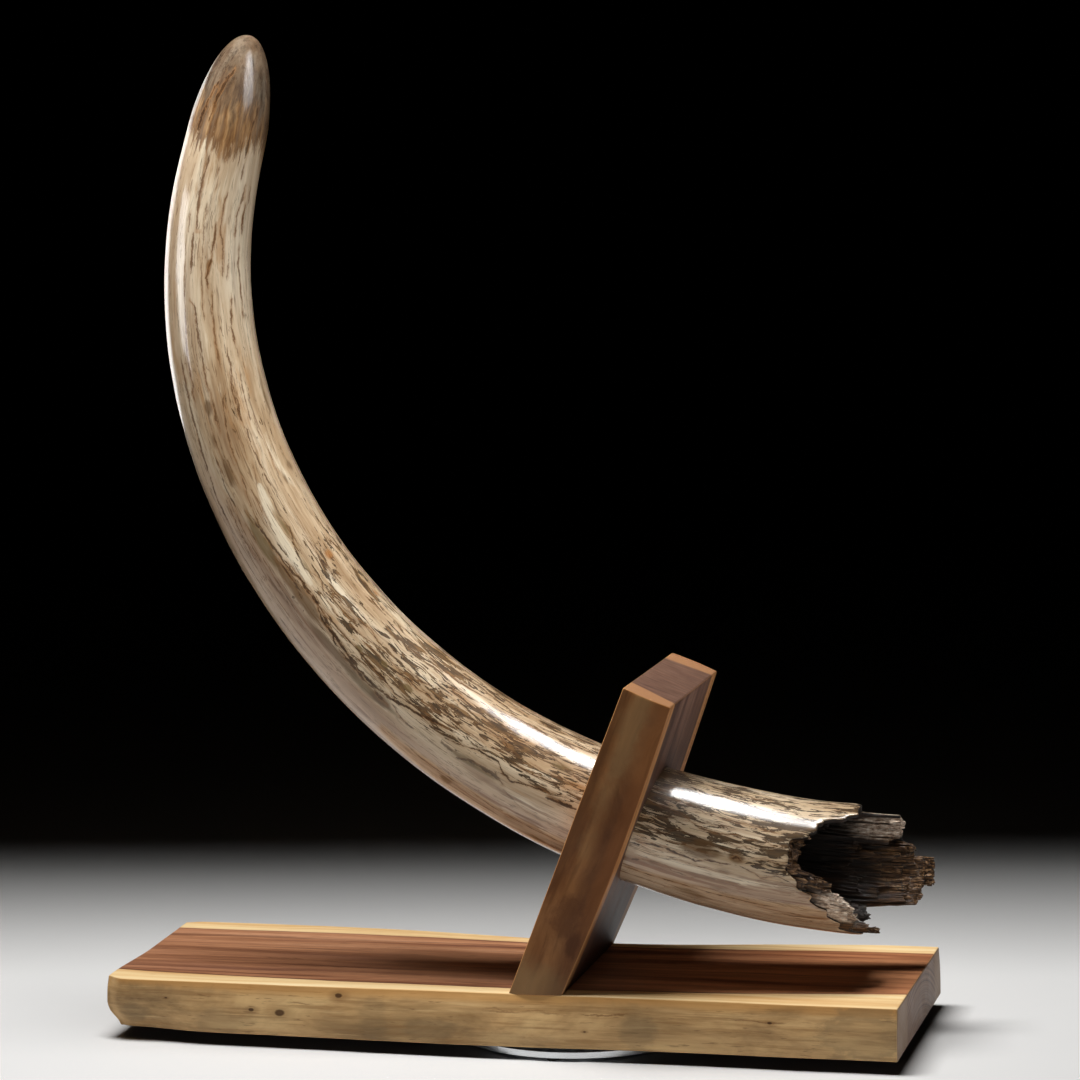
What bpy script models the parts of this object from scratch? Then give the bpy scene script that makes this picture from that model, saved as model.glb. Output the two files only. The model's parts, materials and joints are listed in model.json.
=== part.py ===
"""Mammoth tusk on a leaning walnut post, on a live-edge plank with a turntable.

Metres, +Z up. The origin is on the floor, under the middle of the overall box. Every
dimension below is taken from the turntable's axis, which stands at AXIS_X: an empty
there carries all the pieces. +X runs along the plank to the tusk's root end, -Y is the
front.
"""

import math

import bmesh
import bpy
from mathutils import Vector, noise

# ---------------------------------------------------------------- driving dimensions
GAP = 0.0003  # clearance between faces that touch
AXIS_X = 0.0616  # turntable's axis, from the middle of the overall box

# turntable
FOOT_R, FOOT_H, FOOT_N, FOOT_CIRCLE_R = 0.0060, 0.0027, 6, 0.1262
OUTER_R, OUTER_BORE_R = 0.1340, 0.1185
OUTER_Z0, OUTER_Z1 = 0.0030, 0.0100
GROOVE_R, GROOVE_Z0, GROOVE_Z1 = 0.1215, 0.0052, 0.0080
INNER_R, INNER_BORE_R = 0.1177, 0.1000
INNER_Z0, INNER_Z1 = 0.0045, 0.0122
TONGUE_R, TONGUE_Z0, TONGUE_Z1 = 0.1207, 0.0059, 0.0073
RING_SIDES = 72
RING_SCREW_CIRCLE_R, RING_SCREW_N = 0.1085, 4
RING_SCREW_R, RING_SCREW_HEAD_R, RING_SCREW_HEAD_H, RING_SCREW_GRIP = 0.0018, 0.0036, 0.0014, 0.0180

# plank
PLANK_Z0, PLANK_Z1 = 0.0125, 0.0635
PLANK_X0, PLANK_X1 = -0.4667, 0.3413
PLANK_FRONT = -0.1235
PLANK_BACK = 0.1225
PLANK_BACK_WAIST = 0.030  # how far the back edge dips in behind the post
ARRIS = 0.0015

# post: stands on the plank and leans to +X
LEAN = math.radians(22.0)
POST_X = -0.0442  # left foot arris
POST_T, POST_BOW = 0.0502, 0.0045
POST_FRONT, POST_BACK_FOOT, POST_BACK_TOP = -0.1227, 0.0912, 0.0955
POST_LENGTH = 0.3290
POST_SCREWS_Y, POST_SCREW_X = (-0.060, 0.040), -0.0080
POST_SCREW_R, POST_SCREW_HEAD_R, POST_SCREW_HEAD_H, POST_SCREW_TOP = 0.0024, 0.0048, 0.0040, 0.0980

# tusk: the heading of its axis turns from the root end to the tip by this polynomial
TUSK_LENGTH = 1.285
ROOT_X, ROOT_Z = 0.3605, 0.1761
ROOT_HEADING = 186.5
TURN = (-107.8, 15.2, -26.7, -10.4)
EASE = ((15.9, 0.99, 0.07), (-4.0, 0.10, 0.10))  # degrees, where along it, over what share
BOW_Y0, BOW_AT, BOW = -0.036, 0.25, (-0.06, 0.14, 0.08)
TIP_GIRTH_R, TAPER, NOSE = 0.0380, 0.0222, 0.103
SECTORS = 48
SKIN_END = 0.165  # from here to the root end the wall is broken
WALL = 0.0105
HOLLOW_END = 0.285
BORE_CLEARANCE = 0.0005

# broken root end: (from, to, reach), degrees round the tusk from the front face over
# the top, and the distance in mm from the root origin at which that piece of wall ends
WALL_PIECES = (
    (8, 31, 140),  # deepest break, in the front face
    (36, 43, 122),
    (46, 54, 106),
    (57, 66, 87),  # bright front lip
    (70, 126, 74),  # top lip
    (144, 163, 37),  # upper slab
    (172, 178, 28),
    (183, 202, 8),  # longest piece, in the back wall
    (205, 213, 22),
    (216, 224, 31),
    (231, 253, 78),
    (258, 286, 62),  # thin bottom tongue
    (300, 316, 86),
    (326, 334, 98),
    (342, 347, 112),
    (350, 356, 126),
)

# ---------------------------------------------------------------- scene set-up
for old in list(bpy.data.objects):
    bpy.data.objects.remove(old, do_unlink=True)


swivel = bpy.data.objects.new("swivel_axis", None)
swivel.location = (AXIS_X, 0.0, 0.0)
bpy.context.scene.collection.objects.link(swivel)


def material(name, color, roughness, metallic=0.0):
    mat = bpy.data.materials.new(name)
    mat.use_nodes = True
    shader = mat.node_tree.nodes["Principled BSDF"]
    shader.inputs["Base Color"].default_value = (*color, 1.0)
    shader.inputs["Roughness"].default_value = roughness
    shader.inputs["Metallic"].default_value = metallic
    mat.diffuse_color = (*color, 1.0)
    return mat


IVORY = material("ivory", (0.52, 0.40, 0.26), 0.25)
WALNUT_TOP = material("walnut_plank", (0.22, 0.12, 0.07), 0.45)
WALNUT_POST = material("walnut_post", (0.30, 0.18, 0.10), 0.45)
ALUMINIUM = material("aluminium", (0.75, 0.76, 0.78), 0.35, 1.0)
RUBBER = material("rubber", (0.03, 0.03, 0.03), 0.8)
STEEL = material("steel", (0.55, 0.55, 0.56), 0.35, 1.0)


def finish(bm, name, mat, smooth_angle=35.0):
    bmesh.ops.recalc_face_normals(bm, faces=bm.faces[:])
    mesh = bpy.data.meshes.new(name)
    bm.to_mesh(mesh)
    bm.free()
    mesh.materials.append(mat)
    mesh.shade_smooth()
    mesh.set_sharp_from_angle(angle=math.radians(smooth_angle))
    obj = bpy.data.objects.new(name, mesh)
    obj.parent = swivel
    bpy.context.scene.collection.objects.link(obj)
    return obj


def loft(rings, start=None, end=None):
    """Closed body through rings of points; start and end are poles, or None for a flat cap."""
    bm = bmesh.new()
    loops = [[bm.verts.new(p) for p in ring] for ring in rings]
    count = len(loops[0])
    for a, b in zip(loops, loops[1:]):
        for i in range(count):
            j = (i + 1) % count
            bm.faces.new((a[i], a[j], b[j], b[i]))
    for loop, pole in ((loops[0], start), (loops[-1], end)):
        if pole is None:
            bm.faces.new(loop)
            continue
        tip = bm.verts.new(pole)
        for i in range(count):
            bm.faces.new((loop[i], loop[(i + 1) % count], tip))
    return bm


def cut(obj, cutter_bm, name):
    bmesh.ops.recalc_face_normals(cutter_bm, faces=cutter_bm.faces[:])
    mesh = bpy.data.meshes.new(name)
    cutter_bm.to_mesh(mesh)
    cutter_bm.free()
    cutter = bpy.data.objects.new(name, mesh)
    cutter.parent = swivel
    bpy.context.scene.collection.objects.link(cutter)
    cutter.hide_render = True
    cutter.display_type = "WIRE"
    mod = obj.modifiers.new(name, "BOOLEAN")
    mod.operation = "DIFFERENCE"
    mod.solver = "EXACT"
    mod.object = cutter
    return cutter


def turned(profile, sides, center=(0.0, 0.0)):
    """Solid turned about a vertical axis through center; profile runs (r, z) bottom to top."""
    rings = []
    for r, z in profile:
        rings.append(
            [
                (
                    center[0] + r * math.cos(2 * math.pi * i / sides),
                    center[1] + r * math.sin(2 * math.pi * i / sides),
                    z,
                )
                for i in range(sides)
            ]
        )
    return loft(rings)


def turned_ring(profile, sides):
    """Closed (r, z) profile swept right round the Z axis."""
    bm = bmesh.new()
    columns = []
    for i in range(sides):
        a = 2 * math.pi * i / sides
        columns.append([bm.verts.new((r * math.cos(a), r * math.sin(a), z)) for r, z in profile])
    for i in range(sides):
        a, b = columns[i], columns[(i + 1) % sides]
        for k in range(len(profile)):
            m = (k + 1) % len(profile)
            bm.faces.new((a[k], a[m], b[m], b[k]))
    return bm


def bump(x, center, width):
    return math.exp(-(((x - center) / width) ** 2))


# ---------------------------------------------------------------- turntable
C = 0.0006  # edge break on the rings
outer_profile = (
    (OUTER_BORE_R, OUTER_Z0),
    (OUTER_R - C, OUTER_Z0),
    (OUTER_R, OUTER_Z0 + C),
    (OUTER_R, OUTER_Z1 - C),
    (OUTER_R - C, OUTER_Z1),
    (OUTER_BORE_R, OUTER_Z1),
    (OUTER_BORE_R, GROOVE_Z1),
    (GROOVE_R, GROOVE_Z1),
    (GROOVE_R, GROOVE_Z0),
    (OUTER_BORE_R, GROOVE_Z0),
)
finish(turned_ring(outer_profile, RING_SIDES), "turntable_outer_ring", ALUMINIUM)

inner_profile = (
    (INNER_BORE_R, INNER_Z0),
    (INNER_R, INNER_Z0),
    (INNER_R, TONGUE_Z0),
    (TONGUE_R, TONGUE_Z0),
    (TONGUE_R, TONGUE_Z1),
    (INNER_R, TONGUE_Z1),
    (INNER_R, INNER_Z1),
    (INNER_BORE_R, INNER_Z1),
)
inner_ring = finish(turned_ring(inner_profile, RING_SIDES), "turntable_inner_ring", ALUMINIUM)

for n in range(FOOT_N):
    a = math.radians(30 + 60 * n)
    at = (FOOT_CIRCLE_R * math.cos(a), FOOT_CIRCLE_R * math.sin(a))
    e = 0.0005
    foot = turned(((FOOT_R - e, 0.0), (FOOT_R, e), (FOOT_R, FOOT_H)), 20, at)
    finish(foot, f"foot_{n + 1}", RUBBER)


# ---------------------------------------------------------------- plank
def plank_section(t):
    """Section at t = 0 (left end) to 1 (right end): x, and the y of each arris."""
    x = PLANK_X0 + (PLANK_X1 - PLANK_X0) * t
    corner = 0.010 * math.exp(-(((x - PLANK_X0) / 0.010) ** 2))
    front_top = PLANK_FRONT + corner
    swell = 0.0045 + 0.006 * bump(x, -0.08, 0.15) - 0.010 * bump(x, -0.445, 0.05)
    front_low = PLANK_FRONT - swell + corner * 0.5
    back_top = PLANK_BACK - PLANK_BACK_WAIST * bump(x, 0.015, 0.17) + 0.003 * bump(x, 0.30, 0.06)
    back_low = back_top + 0.006 + 0.018 * bump(x, 0.015, 0.16) - 0.004 * bump(x, -0.30, 0.10)
    back_top -= 0.5 * corner
    return x, front_top, front_low, back_top, back_low


def plank_ring(t, inset):
    x, ft, fl, bt, bl = plank_section(t)
    z0, z1 = PLANK_Z0 + inset, PLANK_Z1 - inset
    e = ARRIS
    outline = [
        (ft + inset + e, z1),
        (ft + inset, z1 - e),
    ]
    for k in (0.2, 0.4, 0.6, 0.8):
        z = z1 + (z0 - z1) * k
        y = ft + (fl - ft) * k + inset - 0.0024 * math.sin(math.pi * k)
        outline.append((y, z))
    outline += [(fl + inset, z0 + e), (fl + inset + e, z0)]
    outline += [(bl - inset - e, z0), (bl - inset, z0 + e)]
    for k in (0.25, 0.5, 0.75):
        z = z0 + (z1 - z0) * k
        y = bl + (bt - bl) * k - inset + 0.0030 * math.sin(math.pi * k)
        outline.append((y, z))
    outline += [(bt - inset, z1 - e), (bt - inset - e, z1)]
    skew = -0.0097 * (1 - t) + 0.0036 * t
    return [(x + skew * y / 0.247, y, z) for y, z in outline]


stations = [0.0, 0.006, 0.014, 0.026, 0.045, 0.07, 0.10] + [0.14 + 0.04 * k for k in range(22)]
rings = [plank_ring(0.0, ARRIS)]
for t in stations[:1] + stations[1:] + [1.0]:
    ring = plank_ring(t, 0.0)
    if t == 0.0:
        ring = [(p[0] + ARRIS, p[1], p[2]) for p in ring]
    if t == 1.0:
        ring = [(p[0] - ARRIS, p[1], p[2]) for p in ring]
    rings.append(ring)
rings.append(plank_ring(1.0, ARRIS))
base = finish(loft(rings), "base", WALNUT_TOP, 40.0)

# ---------------------------------------------------------------- post
AXIS = Vector((math.sin(LEAN), 0.0, math.cos(LEAN)))  # along the grain, upwards
ACROSS = Vector((math.cos(LEAN), 0.0, -math.sin(LEAN)))  # through the slab's thickness
POST_FOOT = Vector((POST_X, 0.0, PLANK_Z1 + GAP))


def post_ring(k, inset=0.0):
    """Outline at k = 0 (mitred foot) to 1 (top) along the grain."""
    e = ARRIS * 1.2
    bow = POST_BOW * math.sin(math.pi * k)
    u0, u1 = inset, POST_T + bow - inset
    front = POST_FRONT + inset + 0.0016 * math.sin(7.0 * k + 0.5) * k
    back = POST_BACK_FOOT + (POST_BACK_TOP - POST_BACK_FOOT) * k - inset + 0.002 * math.sin(5.0 * k)
    outline = [(u0, back - e), (u0, front + e), (u0 + e, front)]
    for s in (0.25, 0.5, 0.75):
        outline.append((u0 + (u1 - u0) * s, front - 0.0026 * math.sin(math.pi * s)))
    outline += [(u1 - e, front), (u1, front + e), (u1, back - e), (u1 - e, back)]
    for s in (0.75, 0.5, 0.25):
        outline.append((u0 + (u1 - u0) * s, back + 0.0026 * math.sin(math.pi * s)))
    outline.append((u0 + e, back))
    points = []
    for u, y in outline:
        low = u * math.tan(LEAN)  # the mitre keeps the foot level
        h = low + (POST_LENGTH - low) * k
        points.append(POST_FOOT + AXIS * h + ACROSS * u + Vector((0.0, y, 0.0)))
    return points


post_rings = [post_ring(k / 14) for k in range(14)]
post_rings.append([p - AXIS * ARRIS for p in post_ring(1.0)])
post_rings.append(post_ring(1.0, ARRIS))
post = finish(loft(post_rings), "post", WALNUT_POST, 40.0)


# ---------------------------------------------------------------- tusk
def heading(s):
    u = s / TUSK_LENGTH
    turn = sum(c * u ** (i + 1) for i, c in enumerate(TURN))
    ease = sum(a * bump(u, at, over) for a, at, over in EASE)
    return math.radians(ROOT_HEADING + turn + ease)


STEP = TUSK_LENGTH / 1200
axis_points = [Vector((ROOT_X, 0.0, ROOT_Z))]
for i in range(1200):
    a = heading((i + 0.5) * STEP)
    axis_points.append(axis_points[-1] + Vector((math.cos(a), 0.0, math.sin(a))) * STEP)


def axis_at(s):
    """Point on the axis, s from the root origin; before it the axis runs on straight."""
    w = s / TUSK_LENGTH - BOW_AT
    y = BOW_Y0 + sum(c * w ** (i + 1) for i, c in enumerate(BOW))
    if s <= 0.0:
        a = heading(0.0)
        p = axis_points[0] + Vector((math.cos(a), 0.0, math.sin(a))) * s
    else:
        f = min(s / STEP, 1199.999)
        i = int(f)
        p = axis_points[i].lerp(axis_points[i + 1], f - i)
    return Vector((p.x, y, p.z))


def frame_at(s):
    t = (axis_at(s + 0.002) - axis_at(s - 0.002)).normalized() if s < TUSK_LENGTH - 0.002 else (
        axis_at(TUSK_LENGTH) - axis_at(TUSK_LENGTH - 0.004)
    ).normalized()
    up = Vector((0.0, 1.0, 0.0)).cross(t).normalized()
    front = up.cross(t).normalized()
    return up, front


def girth_radius(s):
    d = max(TUSK_LENGTH - s, 0.0)
    short = max(1.0 - d / NOSE, 0.0)  # the nose is half an ellipsoid
    return (TIP_GIRTH_R + TAPER * d) * math.sqrt(max(1.0 - short * short, 0.0))


def tusk_point(s, angle, inwards=0.0, outwards=0.0):
    up, front = frame_at(s)
    r = girth_radius(s) - inwards + outwards
    return axis_at(s) + (front * math.cos(angle) + up * math.sin(angle)) * r


def break_at(degrees):
    """Distance from the root origin at which the wall ends, at this angle round the tusk."""
    d = degrees % 360.0
    for i, (a, b, reach) in enumerate(WALL_PIECES):
        if a <= d <= b:
            return reach / 1000.0
        c, _, after = WALL_PIECES[(i + 1) % len(WALL_PIECES)]
        gap = (c - b) % 360.0
        past = (d - b) % 360.0
        if past < gap:
            return (reach + (after - reach) * past / gap) / 1000.0
    return WALL_PIECES[-1][2] / 1000.0


ANGLES = [2 * math.pi * i / SECTORS for i in range(SECTORS)]
BREAK = []
for i, a in enumerate(ANGLES):
    ragged = 0.0035 * noise.noise(Vector((3.0 * i, 1.7, 0.3)))
    BREAK.append(break_at(math.degrees(a)) + ragged)

nose = [0.0004, 0.0016, 0.0045, 0.0095, 0.017, 0.027, 0.041, 0.060, 0.084, 0.110]
outside = [TUSK_LENGTH - d for d in nose]
body_steps = 25
body = [
    outside[-1] + (SKIN_END - outside[-1]) * (k + 1) / body_steps for k in range(body_steps)
]
tusk_rings = [[tusk_point(s, a) for a in ANGLES] for s in outside + body]
for k in (0.25, 0.5, 0.75, 1.0):
    tusk_rings.append(
        [tusk_point(SKIN_END + (BREAK[i] - SKIN_END) * k, a) for i, a in enumerate(ANGLES)]
    )
for k in (0.0, 0.34, 0.67, 1.0):
    # inner wall, back from the broken edge
    ring = []
    for i, a in enumerate(ANGLES):
        s = BREAK[i] + 0.0025 + (SKIN_END + 0.004 - BREAK[i] - 0.0025) * k
        ring.append(tusk_point(s, a, inwards=WALL + 0.004 * k))
    tusk_rings.append(ring)
for k in (0.25, 0.5, 0.75, 0.92):
    s = SKIN_END + 0.004 + (HOLLOW_END - SKIN_END - 0.004) * k
    r_left = (girth_radius(s) - WALL - 0.004) * math.sqrt(1.0 - k * k)
    up, front = frame_at(s)
    tusk_rings.append(
        [axis_at(s) + (front * math.cos(a) + up * math.sin(a)) * r_left for a in ANGLES]
    )
tusk = finish(
    loft(tusk_rings, axis_at(TUSK_LENGTH), axis_at(HOLLOW_END)), "tusk", IVORY, 60.0
)

# the bore in the post follows the tusk, a little larger
bore = [s for s in body if 0.21 < s < 0.46]
cut(post, loft([[tusk_point(s, a, outwards=BORE_CLEARANCE) for a in ANGLES] for s in bore]), "bore_cutter")

# ---------------------------------------------------------------- screws
for n in range(RING_SCREW_N):
    a = math.radians(45 + 90 * n)
    at = (RING_SCREW_CIRCLE_R * math.cos(a), RING_SCREW_CIRCLE_R * math.sin(a))
    r, head = RING_SCREW_R, RING_SCREW_HEAD_R
    z0 = INNER_Z0 - GAP
    profile = (
        (head - 0.0006, z0 - RING_SCREW_HEAD_H),
        (head, z0 - RING_SCREW_HEAD_H * 0.5),
        (head, z0),
        (r, z0),
        (r, z0 + RING_SCREW_GRIP - 0.002),
        (r * 0.25, z0 + RING_SCREW_GRIP),
    )
    finish(turned(profile, 12, at), f"ring_screw_{n + 1}", STEEL)
    hole = r + 0.0004
    cut(inner_ring, turned(((hole, INNER_Z0 - 0.001), (hole, INNER_Z1 + 0.001)), 12, at), f"ring_hole_cutter_{n + 1}")
    cut(base, turned(((hole, PLANK_Z0 - 0.001), (hole, z0 + RING_SCREW_GRIP + 0.001)), 12, at), f"pilot_cutter_{n + 1}")

for n, y in enumerate(POST_SCREWS_Y):
    at = (POST_SCREW_X, y)
    r, head, hz = POST_SCREW_R, POST_SCREW_HEAD_R, POST_SCREW_HEAD_H
    z0 = PLANK_Z0 + 0.0008
    profile = (
        (head, z0),
        (head, z0 + 0.0006),
        (r, z0 + hz),
        (r, POST_SCREW_TOP - 0.004),
        (r * 0.25, POST_SCREW_TOP),
    )
    finish(turned(profile, 12, at), f"post_screw_{n + 1}", STEEL)
    g = 0.0004
    hole = (
        (head + g + 0.0008, PLANK_Z0 - 0.001),
        (head + g, z0 + 0.0006),
        (r + g, z0 + hz + g),
        (r + g, PLANK_Z1 + 0.001),
    )
    cut(base, turned(hole, 12, at), f"clearance_cutter_{n + 1}")
    cut(post, turned(((r + g, PLANK_Z1 - 0.001), (r + g, POST_SCREW_TOP + 0.001)), 12, at), f"post_pilot_cutter_{n + 1}")
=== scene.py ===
"""Looks for the mammoth tusk on its swivelling walnut stand: a fine mesh for the tusk and its
broken root, procedural ivory and walnut, metal ring, plain floor, soft studio light."""

import json
import math

import bmesh
import bpy
import numpy as np
from mathutils import Matrix, Vector

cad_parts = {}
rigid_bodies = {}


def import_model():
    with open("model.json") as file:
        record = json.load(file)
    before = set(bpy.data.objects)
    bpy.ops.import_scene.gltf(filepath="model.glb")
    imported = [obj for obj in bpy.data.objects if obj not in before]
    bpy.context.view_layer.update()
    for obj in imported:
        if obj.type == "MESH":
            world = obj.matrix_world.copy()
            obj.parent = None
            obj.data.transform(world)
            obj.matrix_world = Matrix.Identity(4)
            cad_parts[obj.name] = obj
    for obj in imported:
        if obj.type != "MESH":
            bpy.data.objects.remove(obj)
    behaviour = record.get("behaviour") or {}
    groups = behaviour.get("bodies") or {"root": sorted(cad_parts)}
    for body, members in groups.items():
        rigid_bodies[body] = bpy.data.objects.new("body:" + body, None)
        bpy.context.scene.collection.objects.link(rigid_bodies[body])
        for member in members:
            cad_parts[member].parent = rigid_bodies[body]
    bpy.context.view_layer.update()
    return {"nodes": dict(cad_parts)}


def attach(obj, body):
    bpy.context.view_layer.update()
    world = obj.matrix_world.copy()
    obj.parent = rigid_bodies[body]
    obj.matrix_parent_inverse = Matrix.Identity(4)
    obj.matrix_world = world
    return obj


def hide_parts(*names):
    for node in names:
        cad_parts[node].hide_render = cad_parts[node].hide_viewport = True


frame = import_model()
NODES = frame["nodes"]
TAU = 2 * math.pi


# ---------------------------------------------------------------- noise for meshes
def _hash(ix, iy, iz, seed):
    h = (ix * 374761393 + iy * 668265263 + iz * 1274126177 + seed * 974634777) & 0xFFFFFFFF
    h = ((h ^ (h >> 13)) * 1103515245) & 0xFFFFFFFF
    h = ((h ^ (h >> 15)) * 668265263) & 0xFFFFFFFF
    return ((h ^ (h >> 16)) & 0xFFFFF) / 1048575.0


def vnoise(x, y=0.0, z=0.0, seed=0):
    """Smooth value noise from 0 to 1."""
    x, y, z = np.broadcast_arrays(*(np.asarray(v, float) for v in (x, y, z)))
    cells = [np.floor(v).astype(np.int64) for v in (x, y, z)]
    fades = [v - c for v, c in zip((x, y, z), cells)]
    fades = [f * f * f * (f * (f * 6 - 15) + 10) for f in fades]
    total = 0.0
    for i in (0, 1):
        for j in (0, 1):
            for k in (0, 1):
                w = 1.0
                for f, on in zip(fades, (i, j, k)):
                    w = w * (f if on else 1 - f)
                total = total + w * _hash(cells[0] + i, cells[1] + j, cells[2] + k, seed)
    return total


def fbm(x, y=0.0, z=0.0, seed=0, octaves=4, gain=0.5):
    total, size, norm = 0.0, 1.0, 0.0
    for o in range(octaves):
        f = 2.0**o
        total = total + size * vnoise(np.asarray(x) * f, np.asarray(y) * f, np.asarray(z) * f, seed + 17 * o)
        norm += size
        size *= gain
    return total / norm


def smooth(a, b, v):
    t = np.clip((np.asarray(v, float) - a) / (b - a), 0, 1)
    return t * t * (3 - 2 * t)


# ---------------------------------------------------------------- the tusk's law, as the CAD has it
SWIVEL_X = 0.0616
TUSK_LENGTH = 1.285
ROOT_X, ROOT_Z = 0.3605 + SWIVEL_X, 0.1761
ROOT_HEADING = 186.5
TURN = (-107.8, 15.2, -26.7, -10.4)
EASE = ((15.9, 0.99, 0.07), (-4.0, 0.10, 0.10))
BOW_Y0, BOW_AT, BOW = -0.036, 0.25, (-0.06, 0.14, 0.08)
TIP_GIRTH_R, TAPER, NOSE = 0.0380, 0.0222, 0.103
HOLLOW_END = 0.285


def heading(s):
    u = np.asarray(s, float) / TUSK_LENGTH
    turned = ROOT_HEADING + sum(t * u ** (i + 1) for i, t in enumerate(TURN))
    turned = turned + sum(a * np.exp(-(((u - at) / over) ** 2)) for a, at, over in EASE)
    return np.radians(turned)


_STEPS = 2400
_S = np.linspace(0, TUSK_LENGTH, _STEPS + 1)
_MID = (_S[1:] + _S[:-1]) / 2
_AX = ROOT_X + np.concatenate([[0], np.cumsum(np.cos(heading(_MID)))]) * TUSK_LENGTH / _STEPS
_AZ = ROOT_Z + np.concatenate([[0], np.cumsum(np.sin(heading(_MID)))]) * TUSK_LENGTH / _STEPS


def axis_at(s):
    s = np.asarray(s, float)
    h0 = float(heading(0.0))
    x = np.where(s < 0, ROOT_X + math.cos(h0) * s, np.interp(s, _S, _AX))
    z = np.where(s < 0, ROOT_Z + math.sin(h0) * s, np.interp(s, _S, _AZ))
    w = s / TUSK_LENGTH - BOW_AT
    y = BOW_Y0 + sum(b * w ** (i + 1) for i, b in enumerate(BOW))
    return np.stack([x, y, z], -1)


def girth_r(s):
    d = TUSK_LENGTH - np.asarray(s, float)
    nose = np.clip(1 - np.maximum(1 - d / NOSE, 0) ** 2, 0, 1)
    return (TIP_GIRTH_R + TAPER * d) * np.sqrt(nose)


def tusk_frame(s):
    s = np.asarray(s, float)
    t = axis_at(np.minimum(s + 1e-4, TUSK_LENGTH)) - axis_at(np.minimum(s + 1e-4, TUSK_LENGTH) - 2e-4)
    t /= np.linalg.norm(t, axis=-1, keepdims=True)
    up = np.cross(np.array([0.0, 1.0, 0.0]), t)
    up /= np.linalg.norm(up, axis=-1, keepdims=True)
    return t, up, np.cross(up, t)


def tusk_point(s, phi, r):
    """Points at distance s along the tusk, angle phi (0 front, 90 top) and radius r."""
    _, up, front = tusk_frame(s)
    c, n, r = (np.asarray(v)[..., None] for v in (np.cos(phi), np.sin(phi), r))
    return axis_at(s) + (front * c + up * n) * r


# ---------------------------------------------------------------- meshes
def make_mesh(name, points, faces, material, attributes=None, smooth_shade=True):
    mesh = bpy.data.meshes.new(name)
    mesh.from_pydata(np.asarray(points, float).reshape(-1, 3).tolist(), [], [list(map(int, f)) for f in faces])
    mesh.update()
    for key, values in (attributes or {}).items():
        values = np.asarray(values, np.float32)
        if values.ndim == 2:
            mesh.attributes.new(key, "FLOAT_VECTOR", "POINT").data.foreach_set("vector", values.ravel())
        else:
            mesh.attributes.new(key, "FLOAT", "POINT").data.foreach_set("value", values.ravel())
    mesh.polygons.foreach_set("use_smooth", [smooth_shade] * len(mesh.polygons))
    obj = bpy.data.objects.new(name, mesh)
    bpy.context.scene.collection.objects.link(obj)
    obj.data.materials.append(material)
    return obj


def grid_faces(rows, cols, wrap=True, flip=False, start=0):
    i = np.arange(rows - 1)[:, None]
    j = np.arange(cols if wrap else cols - 1)[None, :]
    k = (j + 1) % cols
    a, b, c, d = i * cols + j, i * cols + k, (i + 1) * cols + k, (i + 1) * cols + j
    quads = np.stack([a, b, c, d], -1).reshape(-1, 4) + start
    return quads[:, ::-1] if flip else quads


# ---------------------------------------------------------------- node helper
def srgb(r, g, b):
    def lin(c):
        c /= 255.0
        return c / 12.92 if c <= 0.04045 else ((c + 0.055) / 1.055) ** 2.4

    return (lin(r), lin(g), lin(b), 1.0)


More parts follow.
